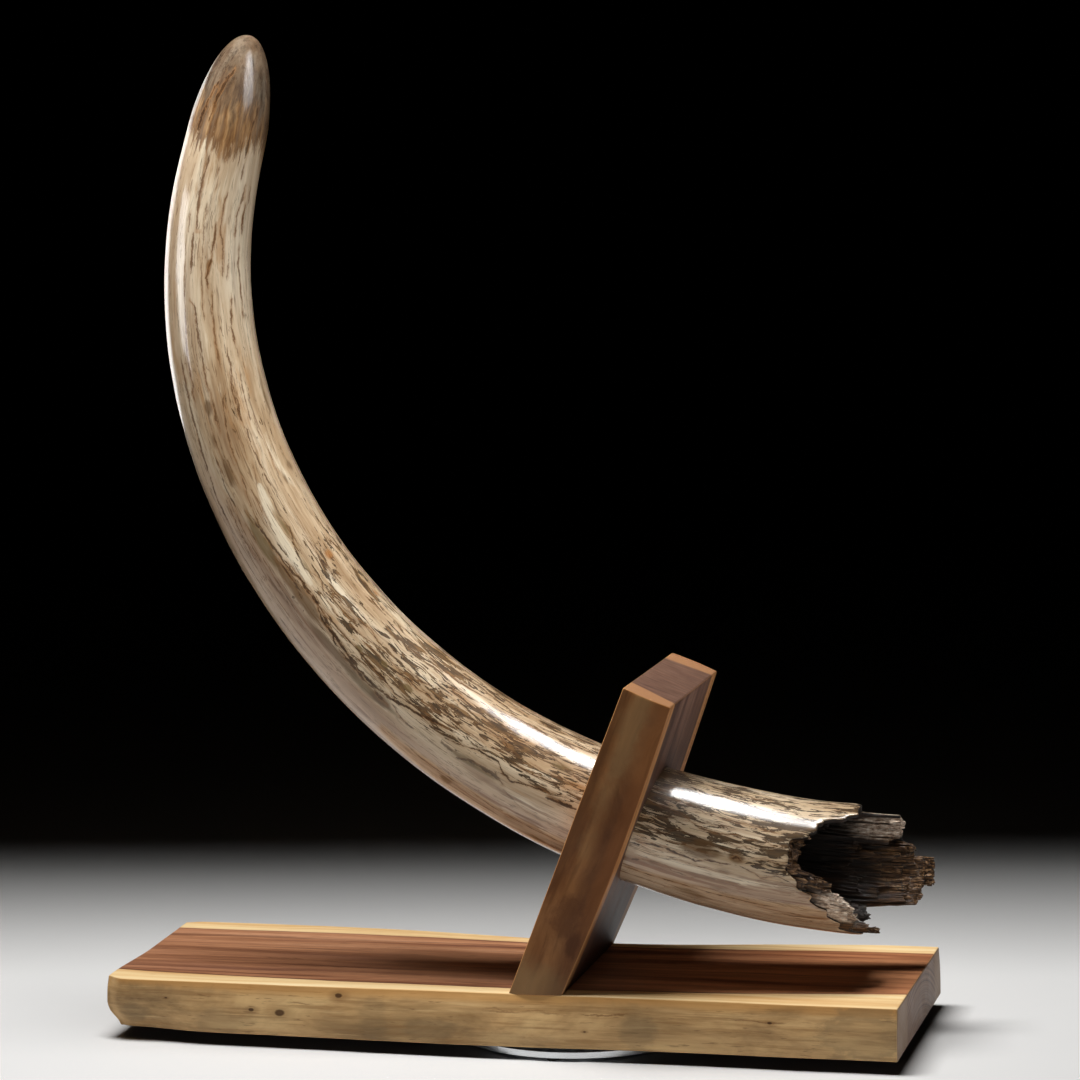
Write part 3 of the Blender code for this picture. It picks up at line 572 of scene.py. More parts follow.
def walnut_post():
    n = Nodes("walnut_post")
    p = n.coords()
    # up: from the foot along the grain, over: from the left face through the slab
    up, over = n.add(n.vmath("DOT_PRODUCT", p, ALONG), -0.0657), n.add(n.vmath("DOT_PRODUCT", p, ACROSS), 0.0078)
    y = n.split(p)[1]
    wob = n.mul(n.sub(n.noise(n.stretch(p, (7, 9, 7)), 1.0, 2.0), 0.5), 0.02)
    q = n.join(up, n.add(y, wob), n.add(over, wob))
    grain = n.noise(n.stretch(q, (2.6, 44, 44)), 1.0, 6.0, 0.64)
    heart = n.ramp(grain, [(0.30, srgb(78, 53, 45)), (0.43, srgb(106, 76, 64)), (0.54, srgb(130, 97, 82)), (0.70, srgb(154, 120, 102))])
    streak = n.noise(n.stretch(q, (2.4, 110, 110)), 1.0, 3.0, 0.6)
    heart = n.mix(n.step(streak, 0.55, 0.66, 0.0, 0.30), heart, srgb(64, 42, 36))
    pores = n.noise(n.stretch(q, (30, 620, 620)), 1.0, 2.0)
    heart = n.mix(n.step(pores, 0.60, 0.70, 0.0, 0.45), heart, srgb(46, 30, 26))
    sap = n.ramp(n.noise(n.stretch(q, (3.0, 70, 70)), 1.0, 4.0), [(0.3, srgb(184, 122, 70)), (0.5, srgb(212, 152, 98)), (0.7, srgb(224, 170, 118))])
    wander = n.mul(n.sub(n.noise(n.stretch(p, (9, 2, 9)), 1.0, 3.0), 0.5), 0.006)
    face = n.add(y, n.mul(n.sub(over, 0.05), 0.28))
    front = n.step(n.add(face, wander), -0.1045, -0.1005, 1.0, 0.0)
    back = n.step(n.sub(n.add(y, wander), n.mul(n.sub(over, 0.05), 0.2)), 0.064, 0.070)
    colour = n.mix(n.math("MAXIMUM", front, back), heart, sap)

    nx, ny, nz = n.split(n.vmath("ABSOLUTE", n.node("ShaderNodeTexCoord").outputs["Normal"]))[:3]
    normal = n.node("ShaderNodeTexCoord").outputs["Normal"]
    live = n.step(ny, 0.55, 0.85)
    side = n.math("ABSOLUTE", n.vmath("DOT_PRODUCT", normal, ACROSS))
    cut = n.math("ABSOLUTE", n.vmath("DOT_PRODUCT", normal, ALONG))
    cloud = n.noise(n.stretch(q, (7, 24, 24)), 1.0, 5.0, 0.6, 0.6)
    tan = n.ramp(cloud, [(0.30, srgb(92, 56, 30)), (0.44, srgb(116, 74, 42)), (0.57, srgb(138, 92, 54)), (0.72, srgb(158, 110, 68))])
    loose = n.mul(n.sub(n.noise(n.stretch(p, (34, 34, 34)), 1.0, 5.0, 0.7), 0.5), 2.2)
    fibre = n.noise(n.stretch(q, (9, 150, 150)), 1.0, 4.0, 0.6)
    tan = n.mix(n.step(fibre, 0.50, 0.70, 0.0, 0.5), tan, srgb(96, 60, 30))
    grey = n.math("MAXIMUM", n.step(n.add(up, n.mul(loose, 0.03)), 0.02, 0.055, 0.65, 0.0), n.mul(spot(n, up, over, 0.30, 0.022, (0.10, 0.010), loose, 0.6), 0.5))
    tan = n.mix(grey, tan, srgb(150, 120, 82))
    tan = n.mix(n.mul(n.step(n.add(over, n.mul(loose, 0.004)), 0.036, 0.046), n.step(up, 0.02, 0.14, 0.15, 0.35)), tan, srgb(142, 84, 38))
    tan = n.mix(n.step(n.math("ABSOLUTE", n.sub(over, n.add(n.mul(up, -0.03), 0.030))), 0.0, 0.012, 0.10, 0.0), tan, srgb(180, 130, 82))
    tan = n.mix(n.mul(n.step(n.add(over, n.mul(loose, 0.004)), 0.006, 0.016, 1.0, 0.0), n.step(up, 0.10, 0.26, 0.15, 0.6)), tan, srgb(78, 50, 28))
    blots = None
    for at, to, size, amount in ((0.095, 0.028, (0.020, 0.014), 0.65), (0.072, 0.043, (0.014, 0.006), 0.75), (0.060, 0.015, (0.026, 0.008), 0.35), (0.20, 0.030, (0.03, 0.008), 0.3), (0.125, 0.010, (0.02, 0.006), 0.35)):
        blot = n.mul(spot(n, up, over, at, to, size, loose, 0.5), amount)
        blots = blot if blots is None else n.math("MAXIMUM", blots, blot)
    tan = n.mix(blots, tan, srgb(84, 46, 20))
    tan = n.mix(n.mul(n.step(n.add(up, n.mul(loose, 0.02)), 0.20, 0.02, 0.0, 0.5), n.step(over, 0.010, 0.045, 0.1, 1.0)), tan, srgb(66, 36, 17))
    colour = n.mix(live, colour, tan)

    # painted shade: the right face darkened towards the foot
    colour = n.mix(n.mul(n.step(n.vmath("DOT_PRODUCT", normal, ACROSS), 0.5, 0.9), n.step(up, 0.20, 0.02, 0.0, 0.62)), colour, srgb(30, 18, 12))

    # sawn top: reddish-brown end grain between two strips of sapwood
    rings = n.noise(n.stretch(n.join(n.vmath("DOT_PRODUCT", p, ACROSS), n.add(y, wob), 0.0), (24, 160, 0)), 1.0, 5.0, 0.62)
    end = n.ramp(rings, [(0.32, srgb(84, 62, 54)), (0.5, srgb(106, 80, 68)), (0.68, srgb(126, 96, 82))])
    end = n.mix(n.math("MAXIMUM", front, back), end, srgb(166, 122, 88))
    colour = n.mix(n.step(cut, 0.55, 0.85), colour, end)
    # lighter arrises: painted highlight along the edges, partly wear
    sharp = n.step(n.math("MAXIMUM", side, n.math("MAXIMUM", ny, cut)), 0.76, 0.90, 1.0, 0.0)
    colour = n.mix(n.mul(sharp, n.step(loose, -0.8, 0.8, 0.1, 0.6)), colour, srgb(184, 132, 86))
    height = n.add(n.add(n.mul(pores, 0.5), grain), n.mul(n.mul(fibre, live), 0.6))
    bump = n.bump(height, 0.25, 0.0007)
    return n.finish(colour, n.mixv(live, n.step(grain, 0.3, 0.7, 0.45, 0.6), 0.48), bump, Coat_Weight=0.04, Coat_Roughness=0.3, Specular_IOR_Level=0.13)


def metal(name, colour, rough, scale):
    n = Nodes(name)
    p = n.coords()
    x, y, z = n.split(n.vmath("SUBTRACT", p, (SWIVEL_X, 0.0, 0.0)))[:3]
    r = n.vmath("LENGTH", n.join(x, y, 0.0))
    turned = n.noise(n.join(n.mul(r, scale), n.mul(z, scale), 0.0), 1.0, 3.0)
    dull = n.noise(p, 60.0, 4.0)
    c = n.mix(n.step(dull, 0.4, 0.7, 0.0, 0.35), colour, tuple(v * 0.8 for v in colour[:3]) + (1.0,))
    return n.finish(c, n.step(turned, 0.3, 0.7, rough - 0.06, rough + 0.08), n.bump(turned, 0.15, 0.0002), Metallic=1.0)


def rubber():
    n = Nodes("rubber")
    p = n.coords()
    c = n.mix(n.noise(p, 300.0, 3.0), srgb(24, 24, 24), srgb(42, 41, 40))
    return n.finish(c, 0.8, n.bump(n.noise(p, 1500.0, 2.0), 0.3, 0.0002))


IVORY, BROKEN = ivory(), broken()
PLANK, POST = walnut_plank(), walnut_post()
ALUMINIUM = metal("aluminium", srgb(214, 218, 222), 0.28, 2600.0)
STEEL = metal("steel", srgb(170, 170, 172), 0.3, 4000.0)
RUBBER = rubber()


# ---------------------------------------------------------------- tusk skin
SKIN_WALL = 0.0030
SKIN_REACH = ((6, 34, 140), (37, 42, 123), (44, 52, 115), (54, 58, 111), (62, 66, 88), (70, 131, 76), (134, 163, 36), (172, 178, 28), (183, 202, 8), (205, 213, 22), (216, 224, 31), (231, 253, 78), (258, 286, 67), (300, 314, 86), (322, 330, 98), (338, 345, 112), (350, 356, 128))


def reach_of(pieces, phi, seed, blocks=((9.0, 0.0016), (3.3, 0.0007))):
    """How near the root a layer reaches at each angle, in metres, broken off in blocks."""
    deg = np.degrees(phi) % 360
    at, to = [], []
    for a, b, mm in pieces:
        at += [a, b]
        to += [mm, mm]
    at = [at[-1] - 360] + at + [at[0] + 360]
    to = [to[-1]] + to + [to[0]]
    s = np.interp(deg, at, to) / 1000
    for i, (width, size) in enumerate(blocks):
        shift = _hash(seed + i, 3, 0, 7) * width
        s = s + (_hash(np.floor((deg + shift) / width).astype(np.int64), i, 0, seed) - 0.5) * 2 * size
    return s


def skin_r(s, phi):
    """The outer radius with the slow hand-polished unevenness of real ivory."""
    r = girth_r(s)
    calm = 1 - 0.9 * np.exp(-(((s - 0.33) / 0.06) ** 4))
    uneven = (fbm(s * 9, np.cos(phi) * 1.6 + 5, np.sin(phi) * 1.6 + 5, 3, 3) - 0.5) * 0.0022
    uneven = uneven * smooth(0, 0.05, TUSK_LENGTH - s) * calm
    root = smooth(0.24, 0.06, s)
    return r + uneven - root * 0.0012 * np.abs(np.sin(phi))


COLS = 168
# two columns in three are on the front and top, where the grain is finest
PHI = np.radians(np.interp(np.arange(COLS), (0, 62, 114, COLS), (0.0, 112.0, 262.0, 360.0)))
REMAP = 0.23


def tusk_skin():
    body = np.concatenate([np.linspace(0, 0.23, 116)[:-1], np.linspace(0.23, TUSK_LENGTH - NOSE, 330)[:-1]])
    nose = TUSK_LENGTH - NOSE * (1 - np.sin(np.linspace(0, 0.985 * math.pi / 2, 60)))
    rows = np.concatenate([body, nose])
    s = np.broadcast_to(rows[:, None], (len(rows), COLS)).copy()
    phi = np.broadcast_to(PHI[None, :], s.shape)
    edge = reach_of(SKIN_REACH, PHI, 11)
    near = s < REMAP
    s = np.where(near, edge[None, :] + s * (REMAP - edge[None, :]) / REMAP, s)
    r = skin_r(s, phi)
    lip = np.exp(-((s - edge[None, :]) / 0.0022))  # the polished edge rolls over a little
    r = r - 0.0011 * np.where(near, lip, 0)
    outer = tusk_point(s, phi, r)
    flow = np.stack([s, r * np.cos(phi), r * np.sin(phi)], -1)

    inner_rows = np.concatenate([np.linspace(0, 0.9, 10) ** 1.5 * 0.2 / 0.9**1.5, [0.23, 0.26, 0.29]])
    si = edge[None, :] + 0.0006 + inner_rows[:, None] * (0.30 - edge[None, :] - 0.0006) / 0.29
    ph = np.broadcast_to(PHI[None, :], si.shape)
    ri = (girth_r(si) - SKIN_WALL) * np.sqrt(np.clip((0.302 - si) / 0.302, 0, 1)) ** 0.3
    inner = tusk_point(si, ph, ri)
    flow_i = np.stack([si, ri * np.cos(ph), ri * np.sin(ph)], -1)

    n_out, n_in = len(rows) * COLS, len(inner_rows) * COLS
    tip = axis_at(TUSK_LENGTH)
    cap = axis_at(0.302)
    points = np.concatenate([outer.reshape(-1, 3), inner.reshape(-1, 3), tip[None], cap[None]])
    flows = np.concatenate([flow.reshape(-1, 3), flow_i.reshape(-1, 3), [[TUSK_LENGTH, 0, 0]], [[0.302, 0, 0]]])
    faces = [grid_faces(len(rows), COLS), grid_faces(len(inner_rows), COLS, flip=True, start=n_out)]
    j = np.arange(COLS)
    k = (j + 1) % COLS
    faces.append(np.stack([j, n_out + j, n_out + k, k], -1))
    quads = np.concatenate(faces).tolist()
    last = (len(rows) - 1) * COLS
    quads += [[last + a, last + b, n_out + n_in] for a, b in zip(j, k)]
    last = n_out + (len(inner_rows) - 1) * COLS
    quads += [[last + b, last + a, n_out + n_in + 1] for a, b in zip(j, k)]

    S = flows[:, 0]
    P = np.arctan2(flows[:, 2], flows[:, 1])
    deg = np.degrees(P) % 360
    attributes = {"flow": flows, **paint(S, deg)}
    obj = make_mesh("tusk_skin", points, quads, IVORY, attributes)
    obj.data.materials.append(BROKEN)
    inside = np.zeros(len(obj.data.polygons), np.int32)
    inside[(len(rows) - 1) * COLS : (len(rows) - 1) * COLS + (len(inner_rows) - 1) * COLS + COLS] = 1
    inside[-COLS:] = 1
    obj.data.polygons.foreach_set("material_index", inside)
    return obj


def blob(s, deg, s0, d0, ds, dd, amount=1.0):
    turn = (deg - d0 + 180) % 360 - 180
    return amount * np.exp(-(((s - s0) / ds) ** 2) - (turn / dd) ** 2)


# Dark growth lines and cracks: half width in mm, darkness, then distance from the root (mm) and angle (degrees, 0 front, 90 top).
LINES = (
    # root side of the post
    (2.6, 0.9, 283, 60, 268, 58, 250, 54), (0.7, 0.7, 284, 46, 256, 46, 228, 41, 200, 40, 175, 39, 153, 36),
    (0.9, 0.8, 284, 37, 250, 34, 231, 26, 209, 25, 194, 27, 172, 27), (1.1, 0.8, 284, 15, 262, 12, 250, 20, 231, 17),
    (0.9, 0.8, 206, 12, 192, 14, 184, 19, 177, 17), (3.2, 1.0, 194, 6, 188, 8, 182, 5),
    (1.1, 1.0, 283, -2, 262, 0, 241, -2, 226, -4, 218, -1, 192, 0.5), (0.6, 0.9, 184, 1, 170, -2, 162, -6, 147, -1, 131, -6, 124, -11),
    (0.6, 0.6, 287, -10, 262, -11, 241, -8, 200, -9), (0.6, 0.6, 284, -19, 254, -16, 246, -21, 228, -22, 220, -19, 203, -16, 184, -17),
    (2.6, 0.8, 287, -23, 277, -19), (0.7, 0.9, 294, -34, 262, -34, 231, -33, 200, -34, 150, -34), (1.1, 0.6, 150, -44, 131, -42, 100, -40),
    (1.4, 0.6, 240, 78, 219, 73), (1.4, 0.6, 200, 76, 184, 71, 168, 74), (1.0, 0.5, 188, 85, 168, 79), (0.8, 0.6, 262, 6, 240, 8, 214, 5),
    (0.7, 0.6, 246, 29, 222, 32, 205, 34), (0.8, 0.7, 272, 25, 258, 28, 246, 25), (0.7, 0.5, 170, 30, 156, 24, 142, 26),
    (0.7, 0.6, 281, 52, 262, 50, 246, 48), (0.6, 0.5, 176, 9, 160, 12, 146, 9),
    # tip side of the post
    (1.1, 1.0, 500, 3, 481, 7, 462, 12.5, 441, 12.5, 433, 6, 422, 2, 406, 6, 391, 9, 380, 10), (2.4, 0.7, 500, -3, 480, -2),
    (2.1, 0.8, 480, -7, 462, 0, 440, 0, 425, -5), (1.2, 0.45, 425, -8, 410, -15, 395, -19, 370, -20, 350, -19),
    (2.3, 1.0, 384, 3, 369, 5.5, 350, 5), (0.7, 0.8, 412, 27.5, 397, 26, 352, 27), (1.0, 0.8, 470, 36, 452, 35, 440, 31),
    (1.0, 0.8, 448, 23, 438, 27, 426, 27), (1.7, 0.6, 397, 43, 384, 40, 372, 36, 354, 31), (1.1, 0.5, 481, 61, 453, 62, 419, 65, 388, 70),
    (1.0, 0.5, 470, 82, 440, 75), (1.0, 0.45, 430, 70, 400, 72, 380, 76), (0.8, 0.8, 500, -34.5, 468, -34), (0.7, 0.8, 456, -32, 422, -36, 350, -36),
    (0.9, 0.6, 475, -44, 453, -44), (1.6, 0.6, 384, -46, 376, -50, 350, -52), (1.1, 0.7, 394, 14, 386, 14), (0.6, 0.6, 420, 19, 408, 17, 398, 19),
    (0.6, 0.5, 366, 19, 350, 17), (0.7, 0.5, 500, -23, 470, -25, 440, -22),
    # the worked middle
    (1.7, 1.0, 712, 13, 684, 13.5, 662, 9, 645, 5, 629, 2.5, 606, 0, 584, -2, 566, 0, 557, 2, 530, 8, 501, 13.5), (1.2, 0.9, 799, 0, 780, 4, 758, 7, 735, 9, 713, 12),
    (1.3, 1.0, 700, 11, 688, 15, 677, 10, 666, 5, 650, 5.5, 644, 0, 637, -1), (0.9, 0.9, 669, 14, 625, 13, 606, 12.5, 584, 11, 562, 7.5, 544, 10, 528, 12, 510, 12.5),
    (1.6, 0.9, 637, -1, 606, -3, 597, -5, 584, -5, 562, -8), (1.3, 0.8, 560, -3, 547, -8, 528, -10), (1.8, 0.45, 527, 7, 500, 6, 481, 5),
    (0.8, 0.8, 646, 35, 628, 39, 614, 36), (0.8, 0.8, 644, 25, 625, 27.5, 604, 32.5), (0.7, 0.8, 622, 23, 600, 26), (0.8, 0.8, 574, 36, 562, 34.5, 542, 37.5),
    (0.9, 0.9, 568, 29, 550, 26, 537, 29, 510, 26), (0.7, 0.7, 502, 22.5, 481, 22, 460, 21), (1.2, 0.8, 514, 15, 492, 17.5), (0.7, 0.7, 588, 30, 574, 28, 566, 31),
    (0.8, 0.7, 688, 67, 648, 67), (0.7, 0.6, 637, 69, 597, 71, 575, 69), (1.2, 0.6, 566, 75, 544, 77, 525, 74, 500, 76, 475, 72, 460, 75),
    (0.9, 0.6, 555, 62, 525, 64, 500, 65, 479, 67), (1.5, 0.7, 551, 52, 543, 52), (1.3, 0.6, 527, 50, 510, 52), (1.0, 0.7, 700, -41, 681, -42, 648, -41),
    (0.9, 0.8, 530, -32, 506, -35, 464, -33), (0.8, 0.6, 597, 55, 576, 57), (0.7, 0.7, 534, 20, 522, 18, 510, 20), (0.6, 0.6, 610, 7, 590, 6, 575, 8),
    (0.6, 0.7, 660, 30, 646, 31, 634, 29), (0.6, 0.6, 690, 36, 672, 34, 655, 36), (0.7, 0.5, 640, -18, 600, -20, 570, -18), (0.6, 0.5, 560, -24, 520, -22),
    # the long plain stretch
    (0.8, 0.9, 1002, 51, 987, 49, 972, 51, 951, 52), (0.8, 0.8, 934, 50, 919, 47.5, 882, 46), (1.1, 0.9, 964, 39, 941, 39, 925, 36, 903, 37.5, 891, 34, 875, 37.5, 856, 36, 837, 37.5, 810, 39),
    (1.1, 0.9, 942, 37, 916, 34, 890, 36), (0.7, 0.6, 891, 52.5, 869, 51, 844, 55, 825, 54, 798, 52.5), (0.9, 0.9, 752, 44, 734, 46, 707, 47),
    (0.9, 0.7, 812, 34, 781, 32.5, 762, 35, 741, 27.5, 719, 25, 700, 32.5, 687, 25, 660, 21), (0.7, 0.7, 1002, 25.5, 981, 26, 942, 26), (0.8, 0.6, 948, 19, 930, 19),
    (1.1, 0.8, 917, 26, 911, 19, 897, 17.5, 881, 14, 862, 12.5, 848, 12.5), (1.0, 0.8, 832, 12, 812, 9, 781, 6, 753, 6), (1.0, 0.7, 744, 3, 732, 5.5, 719, 5.5, 700, 6),
    (1.2, 1.0, 739, 11, 719, 12, 709, 14, 691, 15, 675, 10, 658, 7.5), (0.8, 0.6, 814, 16, 800, 18, 773, 17), (1.0, 0.8, 1002, 4, 981, 4, 969, 6, 950, 5.5, 934, 4.5, 922, 7.5, 897, 6, 879, 5),
    (0.8, 0.6, 889, -4, 857, -2.5), (1.1, 0.8, 861, -11, 844, -11, 831, -13, 807, -11), (0.8, 0.7, 802, -2, 785, -1), (0.8, 0.7, 789, -9, 767, -8), (0.8, 0.7, 802, -14, 779, -16),
    (0.8, 0.7, 771, -16, 748, -15.5), (0.9, 0.8, 819, -19.5, 800, -20, 781, -22, 760, -21), (0.9, 0.9, 1002, -11, 981, -12, 959, -14.5, 934, -14, 925, -17.5, 917, -16),
    (1.4, 0.9, 961, -26, 937, -25, 906, -26, 875, -27.5, 859, -29, 837, -30, 822, -35, 812, -32.5, 798, -31), (1.0, 0.7, 786, -37.5, 762, -37.5, 734, -36, 714, -36),
    (1.2, 0.8, 696, -42.5, 656, -42), (0.8, 0.6, 752, -10, 731, -11, 685, -12.5), (1.3, 0.8, 737, 71, 726, 71), (1.0, 0.7, 719, 81, 697, 86), (1.6, 0.6, 750, 87, 738, 87),
    (0.7, 0.5, 880, 24, 860, 27, 846, 25), (0.6, 0.5, 840, 30, 826, 27, 812, 22), (0.6, 0.6, 855, 5, 838, 3, 822, 4), (0.6, 0.5, 905, -20, 886, -21, 868, -20), (0.6, 0.5, 730, -24, 705, -25, 684, -23),
    # below the tip
    (2.0, 0.9, 1246, 8, 1229, -2.5, 1210, -7.5, 1189, -10), (2.0, 1.0, 1231, -12, 1213, -20, 1194, -25, 1169, -24), (0.9, 0.8, 1181, 46, 1153, 45),
    (1.2, 0.8, 1216, 62, 1191, 56, 1166, 54, 1139, 55.5), (1.3, 0.8, 1137, 64, 1119, 61, 1107, 57.5, 1080, 57), (1.1, 0.7, 1137, 76, 1117, 76), (1.4, 0.9, 1117, 70, 1101, 67.5, 1083, 70),
    (1.0, 0.8, 1071, 66, 1051, 65.5, 1035, 69, 1016, 70, 991, 71), (0.8, 0.7, 1068, 49, 1051, 49, 1033, 46), (1.2, 0.9, 1016, 53, 1004, 51, 985, 49, 964, 51),
    (1.0, 0.8, 1125, 39, 1117, 35.5, 1097, 34.5, 1082, 35.5, 1069, 40.5, 1036, 41), (1.1, 0.9, 1092, 28, 1079, 28, 1066, 26, 1056, 25), (1.6, 1.0, 1057, 25, 1047, 22.5, 1038, 19.5, 1024, 20.5),
    (0.8, 0.8, 1023, 27.5, 1004, 26, 972, 25, 949, 26), (0.8, 0.7, 1112, 12.5, 1085, 12.5, 1060, 13, 1035, 12.5, 992, 14), (1.5, 0.9, 1159, 4, 1138, 1, 1119, -1, 1097, 1, 1083, 2.5),
    (1.5, 0.9, 1081, -2, 1060, -1, 1039, -2), (1.0, 0.7, 1099, -10, 1080, -9), (1.2, 0.9, 1014, -4, 1009, 2.5, 994, 4, 967, 4), (0.8, 0.8, 1049, -11, 1026, -11, 1004, -11, 972, -14, 948, -15),
    (0.6, 0.6, 1150, 20, 1136, 22, 1122, 20), (0.6, 0.5, 1110, 47, 1098, 45, 1088, 47), (0.7, 0.5, 1148, -16, 1130, -19, 1112, -18), (0.6, 0.5, 1076, 8, 1060, 6, 1046, 8),
    # the far side
    (1.2, 0.8, 620, 118, 590, 121, 560, 116, 530, 119), (1.0, 0.8, 690, 140, 660, 136, 640, 139, 610, 134), (1.5, 0.9, 560, 150, 530, 146, 505, 151, 480, 148),
    (0.9, 0.7, 480, 110, 450, 113, 425, 109, 400, 112), (1.3, 0.8, 470, 165, 440, 161, 410, 166, 380, 163), (1.0, 0.7, 880, 120, 850, 124, 820, 119, 790, 122),
    (1.2, 0.8, 980, 150, 950, 146, 920, 151, 890, 149), (0.9, 0.7, 1090, 130, 1060, 134, 1030, 129), (1.0, 0.8, 760, 170, 730, 166, 700, 171), (1.1, 0.8, 840, 195, 800, 199, 770, 195),
    (1.2, 0.8, 620, 190, 590, 194, 555, 190, 520, 193), (1.0, 0.7, 1050, 180, 1020, 184, 990, 180), (1.3, 0.8, 270, 120, 245, 124, 220, 120, 200, 123), (1.0, 0.8, 260, 150, 230, 147, 205, 151),
    (0.8, 0.7, 700, 215, 660, 219, 630, 215), (0.9, 0.6, 500, 222, 460, 226, 420, 222), (0.9, 0.7, 930, 230, 890, 233, 850, 229), (1.0, 0.7, 1120, 220, 1090, 224, 1050, 221),
    (1.1, 0.8, 1180, 120, 1150, 124, 1125, 121), (1.2, 0.8, 1210, 170, 1180, 174, 1150, 170), (1.1, 0.7, 290, 200, 260, 196, 230, 199), (1.0, 0.6, 600, 255, 560, 259, 520, 256),
)
# Soft stains: tint name, distance (mm), angle, reach along (mm), reach round (degrees), strength
STAINS = (
    ("brown", 705, 3, 46, 8, 0.85), ("olive", 765, -1, 40, 8, 0.75), ("brown", 640, -7, 42, 6, 0.75), ("olive", 588, -10, 42, 6, 0.7), ("brown", 842, -1, 26, 7, 0.55),
    ("brown", 876, -5, 12, 5, 0.5), ("brown", 224, 6, 22, 7, 0.9), ("brown", 199, -7, 14, 4, 0.5), ("brown", 288, 74, 14, 9, 0.85), ("brown", 296, 44, 16, 8, 0.6),
    ("brown", 571, -9, 14, 6, 0.8), ("brown", 222, 13, 14, 6, 0.8), ("brown", 188, 8, 9, 7, 0.8), ("brown", 270, 56, 16, 6, 0.7), ("brown", 262, 30, 24, 9, 0.45), ("brown", 225, -42, 26, 10, 0.45),
    ("brown", 190, -26, 34, 5, 0.4), ("brown", 160, -45, 26, 8, 0.3), ("brown", 478, -41, 7, 7, 0.8), ("brown", 378, -50, 16, 5, 0.6), ("brown", 372, 5, 14, 4, 0.6),
    ("olive", 462, -3, 34, 4, 0.8), ("olive", 382, 38, 18, 7, 0.55), ("olive", 545, 6, 30, 5, 0.4), ("olive", 590, -3, 40, 4, 0.5), ("olive", 621, 15, 5, 3, 0.9),
    ("olive", 592, 22.5, 5, 3, 0.9), ("olive", 558, 20.5, 6, 3, 0.9), ("olive", 770, 30, 30, 4, 0.55), ("olive", 720, 27, 18, 4, 0.5), ("olive", 612, -12, 7, 4, 0.5),
    ("brown", 908, -1, 10, 6, 0.8), ("brown", 918, 12, 6, 8, 0.3), ("brown", 905, 83, 40, 5, 0.5), ("brown", 825, 78, 10, 8, 0.5), ("brown", 812, 61, 10, 4, 0.55),
    ("orange", 719, 58, 7, 6, 0.7), ("orange", 1082, 4, 4, 8, 0.5), ("orange", 1100, -9, 10, 3, 0.4), ("orange", 1006, 40, 8, 4, 0.3), ("orange", 656, 81, 8, 4, 0.6),
    ("orange", 870, 84, 14, 6, 0.4), ("orange", 940, 84, 20, 5, 0.35), ("brown", 800, -37, 14, 8, 0.3), ("brown", 693, 6, 40, 8, 0.35), ("brown", 560, 52, 8, 8, 0.4),
    ("brown", 1047, 22, 8, 4, 0.6), ("brown", 1050, -2, 14, 4, 0.4), ("brown", 1125, 0, 16, 4, 0.4), ("brown", 1101, 68, 10, 4, 0.45), ("brown", 915, 36, 22, 4, 0.4),
    ("brown", 540, 150, 30, 8, 0.5), ("brown", 700, 165, 40, 8, 0.4), ("brown", 900, 150, 30, 8, 0.4), ("olive", 430, 160, 40, 9, 0.5), ("brown", 240, 150, 30, 10, 0.5),
    ("brown", 1070, 180, 24, 9, 0.35), ("orange", 800, 120, 24, 8, 0.4), ("olive", 600, 200, 40, 8, 0.4), ("brown", 830, 232, 40, 8, 0.4),
)
# Pale streaks, as the lines are; the streak from 800 to 868 mm at 60 to 68 degrees is partly painted highlight
PALE = (
    (5.5, 0.9, 818, 27, 781, 22, 741, 20, 700, 20), (3.5, 0.8, 705, 40, 660, 41, 636, 41), (3.0, 0.7, 690, 22, 668, 22, 650, 20), (4.0, 0.6, 868, 62, 830, 60, 800, 68),
    (3.0, 0.6, 560, 41, 520, 39, 480, 40), (3.5, 0.7, 430, 21, 400, 22, 372, 20), (3.0, 0.6, 480, 20, 455, 17), (2.2, 0.9, 286, -14, 250, -12, 210, -13, 160, -12),
    (2.5, 0.5, 660, -10, 620, -14, 560, -14), (3.5, 0.6, 440, -9, 410, -10, 380, -12), (2.5, 0.6, 930, 22, 914, 20), (4.0, 0.6, 1030, 55, 1008, 56), (3.0, 0.5, 1140, 10, 1120, 12),
    (3.5, 0.5, 1150, 30, 1110, 24), (3.0, 0.4, 980, 14, 950, 12), (4.0, 0.5, 200, 56, 140, 58), (4.0, 0.5, 240, 90, 180, 92), (3.0, 0.5, 690, 110, 640, 112),
    (3.5, 0.6, 560, 130, 500, 133, 450, 130), (3.0, 0.5, 860, 140, 800, 138), (3.5, 0.5, 660, 180, 600, 182), (3.0, 0.5, 960, 200, 900, 203), (3.0, 0.5, 300, 170, 240, 172),
)


